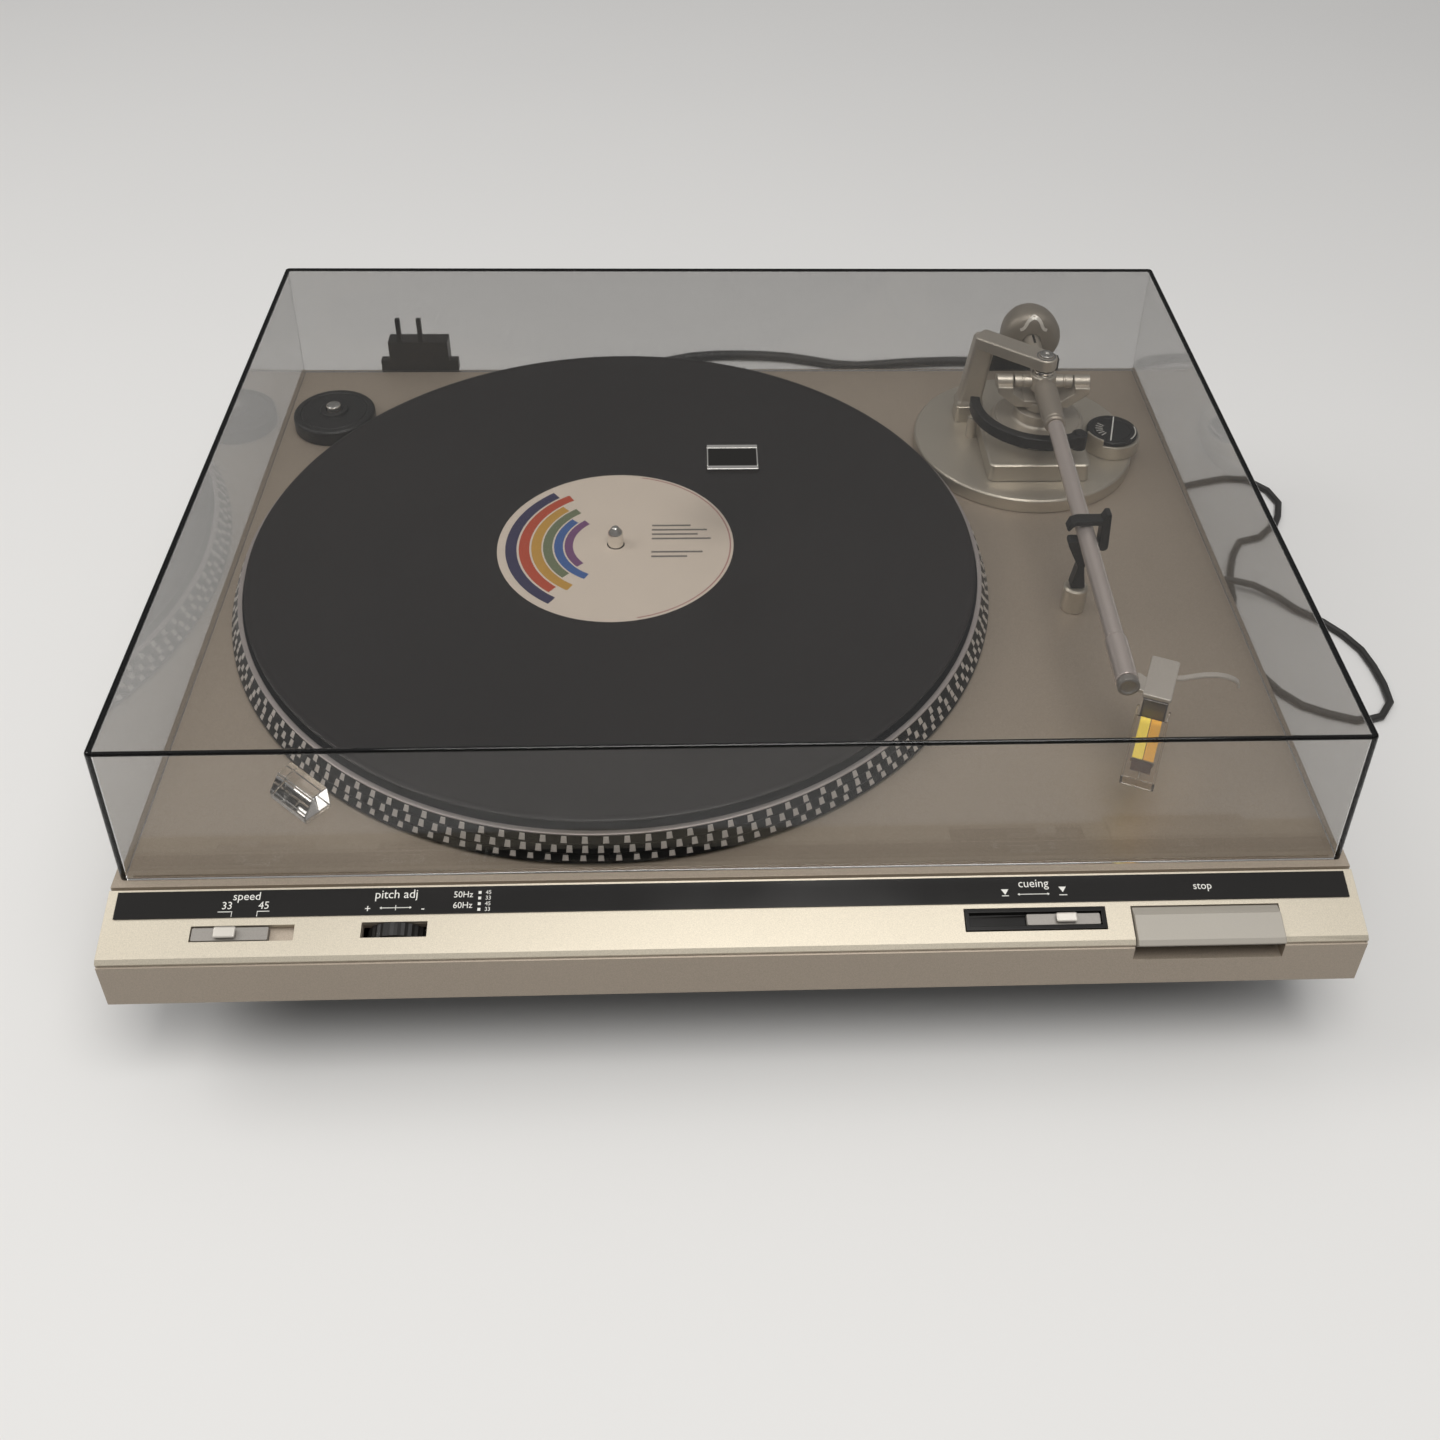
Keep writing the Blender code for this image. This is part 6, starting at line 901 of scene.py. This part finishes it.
plate("stylus_spine", mm((1.8, -13.1), (-11.5, -13.1), (-26.2, -16.8), (-26.2, -17.8), (-8, -17.1), (1.8, -16.1)),
    -0.0003, 0.0003, CART, "tonearm", HEAD, "X", 0.0)
block("stylus_ledge", (-0.0042, -0.0273, -0.018), (0.0042, -0.0266, -0.0163), LEDGE, "tonearm", HEAD, 0.0003,
    0.0001)
plate("stylus_nose", mm((-27.4, -16.6), (-31.6, -17.2), (-31.6, -17.9), (-27.4, -17.9)), -0.0036, 0.0036, NOSE,
    "tonearm", HEAD, "X", 0.0002)
NEEDLE = mm((0, -25.5, -17.25), (0, -30, -17.6), (0, -33.05, -17.85), (0, -33.5, -19.2))
from_curve("stylus_cantilever", rod("stylus_cantilever", NEEDLE, 0.00042, 5), BRIGHT, "tonearm", HEAD,
    slot="yellow_stylus")
dress("stylus_guard", GUARD, 0.0002)

# Anti-skating dial
DIAL = FOOT @ shift((0.035599, -0.0033, 0))
lathe("dial_cup", mm((0, 13.6), (12.2, 13.6), (12.4, 14), (13, 14), (13.2, 13.6), (13.2, 7.3), (0, 7.3)), SILVER,
    "case", DIAL, 80, 0.0003, replaces="antiskate_housing")
plate("dial_cup_rim", ring_sector(0.01225, 0.0132, 195, 240, 16), 0.012, 0.0172, SILVER, "case", DIAL, edge=0.0003)
lathe("dial_disc", mm((0, 15.9), (8.5, 15.9), (8.7, 15.6), (9, 15.6), (9.2, 16), (11.4, 16), (11.9, 15.5),
    (11.9, 14.1), (2, 14.1), (2, 9.7), (0, 9.7)), PLASTIC, "antiskate_knob", DIAL, 80, 0.0002,
    replaces="antiskate_dial")


def spokes(angles, r0, r1, width):
    """Outlines of straight marks from one radius to another, angles in degrees."""
    shapes = []
    for angle in angles:
        a = radians(angle)
        c, s = cos(a), sin(a)
        w = width / 2
        shapes.append([(r0 * c - w * s, r0 * s + w * c), (r0 * c + w * s, r0 * s - w * c),
                       (r1 * c + w * s, r1 * s - w * c), (r1 * c - w * s, r1 * s + w * c)][::-1])
    return shapes


for name, shapes, mat, z in (
        ("scale", spokes(range(140, 236, 16), 0.0045, 0.0078, 0.0005), DIM_MARK, 0.0159),
        ("pointer", spokes((74,), -0.01, 0.0108, 0.0006), MARK, 0.016),
        ("arc", [ring_sector(0.0106, 0.0112, -50, 10, 20)], DIM_MARK, 0.016)):
    flat(f"dial_{name}", shapes, mat, "antiskate_knob", z, DIAL, 0.00008, "black_plastic")

# Arm rest
CLIP_EYE_R = 0.0021
lathe("rest_pillar", mm((0, 12), (4.2, 12), (5, 11.2), (5, 0.3), (0, 0.3)), SILVER, "case", REST, 48,
    replaces="rest_post")
plate("rest_cradle", fillet(mm((-3.1, 12.3), (3.1, 12.3), (1.3, 23.5), (5, 34.5), (5, 36.9), (-6.7, 36.9),
    (-6.7, 34.5), (-1.3, 23.5)), 0.001, closed=True), -0.0025, 0.0025, PLASTIC, "case", REST, "Y", 0.0004,
    replaces="rest_stem")
clip = [polar(CLIP_EYE_R, pi * (1 + k / 8)) for k in range(9)]
clip += mm((1.2, 16.5), (-0.8, 16.5), (-2.1, 13.6), (-12, 13.6), (-14.8, 12.4), (-16, 8.6), (-15, 8),
    (-13.6, 10), (-12.4, 10.9), (-2.1, 10.9))
plate("rest_clip_hook", clip, -0.0025, 0.0025, PLASTIC, "clip", REST @ shift((0.0076, 0, 0.034)), "Y", 0.0004,
    replaces="rest_clip")

# Lifter
LIFTER_R = 0.029968
LIFTER_HALF = 0.0023
LIFTER_FROM, LIFTER_TO = 171, 297     # degrees round the pivot
plate("lifter_arc", ring_sector(LIFTER_R - LIFTER_HALF, LIFTER_R + LIFTER_HALF, LIFTER_FROM, LIFTER_TO, 48), 0.0236,
    0.0296, PLASTIC, "lifter", FOOT, edge=0.0007, replaces="lifter_bar")
lathe("lifter_rod", mm((0, 27), (1.2, 27), (1.2, 1.8), (0, 1.8)), BRIGHT, "lifter", FOOT @ shift((*ROD, 0)), 24)
lathe("lifter_knob", mm((0, 30.6), (2.2, 30.6), (2.5, 30.3), (2.5, 29.7), (3.3, 29.7), (3.6, 29.4), (3.6, 22.1),
    (0, 22.1)), PLASTIC, "lifter", FOOT @ shift((*polar(LIFTER_R, radians(LIFTER_TO)), 0)), 40, 0.0003)

# Controls
block("speed_base", (-0.185113, -0.0185, -0.0029), (-0.159613, -0.0139, -0.0004), KNOB, "speed_knob", PANEL, 0.0005,
    0.0002, replaces="speed_slider")
block("speed_cap", (-0.177513, -0.0182, -0.0011), (-0.170013, -0.0142, 0.0018), CAP, "speed_knob", PANEL, 0.0007,
    0.0006)
block("cue_base", (0.097513, -0.0185, -0.002), (0.123113, -0.0145, -0.0004), KNOB, "cue_knob", PANEL, 0.0005,
    0.0002, replaces="cue_slider")
block("cue_cap", (0.107413, -0.0182, -0.0011), (0.114813, -0.0148, 0.0018), CAP, "cue_knob", PANEL, 0.0007, 0.0006)
dress("pitch_wheel", PLASTIC, 0.0)
dress("stop_button", KEY, 0.0004)
LINE = 0.00025
SHAFT_HALF = 0.00012
triangle = mm((-1.3, 1.1), (0, -0.9), (1.3, 1.1))


def at(shape, x, s):
    """A shape moved to a place on the panel, right and down."""
    return [(a + x, b - s) for a, b in shape]


def arrows(x, s, reach):
    """A double-headed arrow."""
    head = 0.0007
    return [bar(x - reach + head, -s - SHAFT_HALF, x + reach - head, -s + SHAFT_HALF),
            [(x - reach, -s), (x - reach + head, -s - head * 0.7), (x - reach + head, -s + head * 0.7)],
            [(x + reach, -s), (x + reach - head, -s + head * 0.7), (x + reach - head, -s - head * 0.7)]]


for name, text, size, x, s in (
        ("33", "33", 0.0037, -0.1744, 0.0068), ("45", "45", 0.0037, -0.1621, 0.0069),
        ("speed", "speed", 0.004, -0.1682, 0.0036), ("pitch", "pitch adj", 0.0043, -0.1179, 0.0038),
        ("plus", "+", 0.0038, -0.1272, 0.0088), ("minus", "-", 0.0042, -0.1086, 0.0088),
        ("50", "50Hz", 0.0031, -0.0953, 0.0043), ("60", "60Hz", 0.0031, -0.0953, 0.0081),
        ("a45", "45", 0.002, -0.0868, 0.0036), ("a33", "33", 0.002, -0.0868, 0.0056),
        ("b45", "45", 0.002, -0.0868, 0.0076), ("b33", "33", 0.002, -0.0868, 0.0096),
        ("cueing", "cueing", 0.0042, 0.1011, 0.004), ("stop", "stop", 0.0038, 0.1604, 0.0059)):
    word(f"mark_{name}", text, size, x, s)
flat("mark_lines", [bar(-0.1772, -0.009, -0.1724, -0.009 + LINE), bar(-0.1726, -0.0106, -0.1724, -0.0088),
    bar(-0.1641, -0.009, -0.16, -0.009 + LINE), bar(-0.1641, -0.0107, -0.1639, -0.0088),
    *arrows(-0.1178, 0.0085, 0.0054), bar(-0.11792, -0.0094, -0.11768, -0.0076), *arrows(0.1008, 0.0078, 0.0056),
    *[bar(-0.0902, -s - 0.0005, -0.0892, -s + 0.0005) for s in (0.0036, 0.0056, 0.0076, 0.0096)],
    at(triangle, 0.0909, 0.007), bar(0.0897, -0.0084, 0.0921, -0.0081), at(triangle, 0.1111, 0.0064),
    bar(0.1097, -0.0084, 0.1125, -0.0081)], MARK, "case", MARK_Z, PANEL, 0.00006)

# Dust cover: one shell, open below
HALF_W = 0.212713
FRONT_Y = -0.1593
COVER_BACK = 0.1658
LOW_Z = 0.0697
TOP_Z = 0.13
WALL_T = 0.002
DRAFT = 0.001              # each wall's lean over its height
LIP_EDGE = 0.0002          # round on the lower edge
SHOULDER_R = 0.0012
SHOULDER_STEPS = 6
CORNER_R = 0.002
INNER_R = 0.0008
INNER_SHOULDER_R = 0.0005
FLAT = 0.995               # a face that looks up more than this is roof


def cover_loop(z, inset, radius):
    """An outline of the cover at one height."""
    lean = DRAFT * (z - LOW_Z) / (TOP_Z - LOW_Z) + inset
    return rounded((-HALF_W + lean, FRONT_Y + lean), (HALF_W - lean, COVER_BACK - lean), radius, z, 0.0, 6)


def shoulder(top, inset, edge, radius):
    """Loops over the rounded upper edge, from the wall to the roof."""
    out = []
    for k in range(SHOULDER_STEPS + 1):
        a = pi / 2 * k / SHOULDER_STEPS
        over = edge * (1 - cos(a))
        out.append(cover_loop(top - edge * (1 - sin(a)), inset + over, max(radius - over, LIP_EDGE)))
    return out


outer = [cover_loop(LOW_Z, LIP_EDGE, CORNER_R - LIP_EDGE), cover_loop(LOW_Z + LIP_EDGE, 0.0, CORNER_R)]
outer += shoulder(TOP_Z, 0.0, SHOULDER_R, CORNER_R)
inner = [cover_loop(LOW_Z, WALL_T - LIP_EDGE, INNER_R + LIP_EDGE), cover_loop(LOW_Z + LIP_EDGE, WALL_T, INNER_R)]
inner += shoulder(TOP_Z - WALL_T, WALL_T, INNER_SHOULDER_R, INNER_R)
shell = loft("cover_shell", list(reversed(inner)) + outer, SMOKED, "cover", replaces="dust_cover", angle=50)
# Painted shade on the outer shoulder, where the plastic looks dark edge-on.
shell.data.materials.append(PAINTED_EDGE_SHADE)          # on the outer shoulder, where the plastic looks dark
for face in shell.data.polygons:
    middle = sum((shell.data.vertices[v].co for v in face.vertices), Vector()) / len(face.vertices)
    if middle.z > TOP_Z - SHOULDER_R and len(face.vertices) == 4 and abs(face.normal.z) < FLAT:
        face.material_index = 1
BADGE = shift((0, 0.0043, 0))
block("badge_plate", (-0.0106, -0.0086, 0.1295), (0.0106, 0.0086, 0.13015), GLOSS, "cover", BADGE, 0.0006, 0.0002,
    replaces="cover_badge")
for tag, low, high in (
        ("front", (-0.0104, -0.0085), (0.0104, -0.0062)), ("back", (-0.0104, 0.0062), (0.0104, 0.0085)),
        ("left", (-0.0104, -0.0061), (-0.0098, 0.0061)), ("right", (0.0098, -0.0061), (0.0104, 0.0061))):
    block(f"badge_bar_{tag}", (*low, 0.1299), (*high, 0.1303), BRIGHT, "cover", BADGE, 0.0002, 0.0001)


# Room: a pale floor, two soft lamps and a surround that is paler overhead
FLOOR_HALF = 3.0
BELOW = (0.26, 0.255, 0.25, 1)
AIM = (0.0, 0.0, 0.05)
LAMPS = (("key", (0.12, -0.6, 1.58), 1.1, 14.5), ("side", (-1.2, 0.1, 1.2), 0.8, 6.0))
SKY = ((0.45, (0.22, 0.217, 0.213, 1)), (0.95, (0.85, 0.85, 0.855, 1)))


def shade_below(paper):
    """Light that the floor throws back up is weaker than the floor looks, as on a table in a dim room."""
    tree = paper.node_tree
    path = add(tree, "LightPath")
    dim = add(tree, "BsdfDiffuse", {"Color": BELOW})
    mix = add(tree, "MixShader", {"Fac": path.outputs["Is Diffuse Ray"],
                                  1: tree.nodes["Principled BSDF"].outputs["BSDF"], 2: dim.outputs["BSDF"]})
    feed(tree, tree.nodes["Material Output"], {"Surface": mix.outputs["Shader"]})


def room():
    mesh = bpy.data.meshes.new("floor")
    corners = bar(-FLOOR_HALF, -FLOOR_HALF, FLOOR_HALF, FLOOR_HALF)
    mesh.from_pydata([(x, y, 0) for x, y in corners], [], [(0, 1, 2, 3)])
    floor = bpy.data.objects.new("floor", mesh)
    floor.location.z = -GAP
    paper = finish_of("floor", (0.78, 0.775, 0.765), 0.75, vary=0.012, scale=3.0, grain=60.0, bump=0.02)
    shade_below(paper)
    mesh.materials.append(paper)
    link(floor)
    for name, place, size, power in LAMPS:
        data = bpy.data.lights.new(name, "AREA")
        data.shape = "DISK"
        data.size = size
        data.energy = power
        data.color = (1.0, 0.985, 0.96)
        lamp = bpy.data.objects.new(name, data)
        way = Vector(AIM) - Vector(place)
        lamp.matrix_world = shift(place) @ way.to_track_quat("-Z", "Y").to_matrix().to_4x4()
        link(lamp)
    world = bpy.data.worlds.new("surround")
    world.use_nodes = True
    tree = world.node_tree
    coords = add(tree, "TexCoord")
    split = add(tree, "SeparateXYZ", {"Vector": coords.outputs["Generated"]})
    ramp = add(tree, "ValToRGB", {"Fac": split.outputs["Z"]})
    for end, (position, color) in zip(ramp.color_ramp.elements, SKY):
        end.position = position
        end.color = color
    feed(tree, tree.nodes["Background"], {"Color": ramp.outputs["Color"], "Strength": 0.78})
    bpy.context.scene.world = world
    bpy.context.scene.view_settings.view_transform = "Standard"


room()
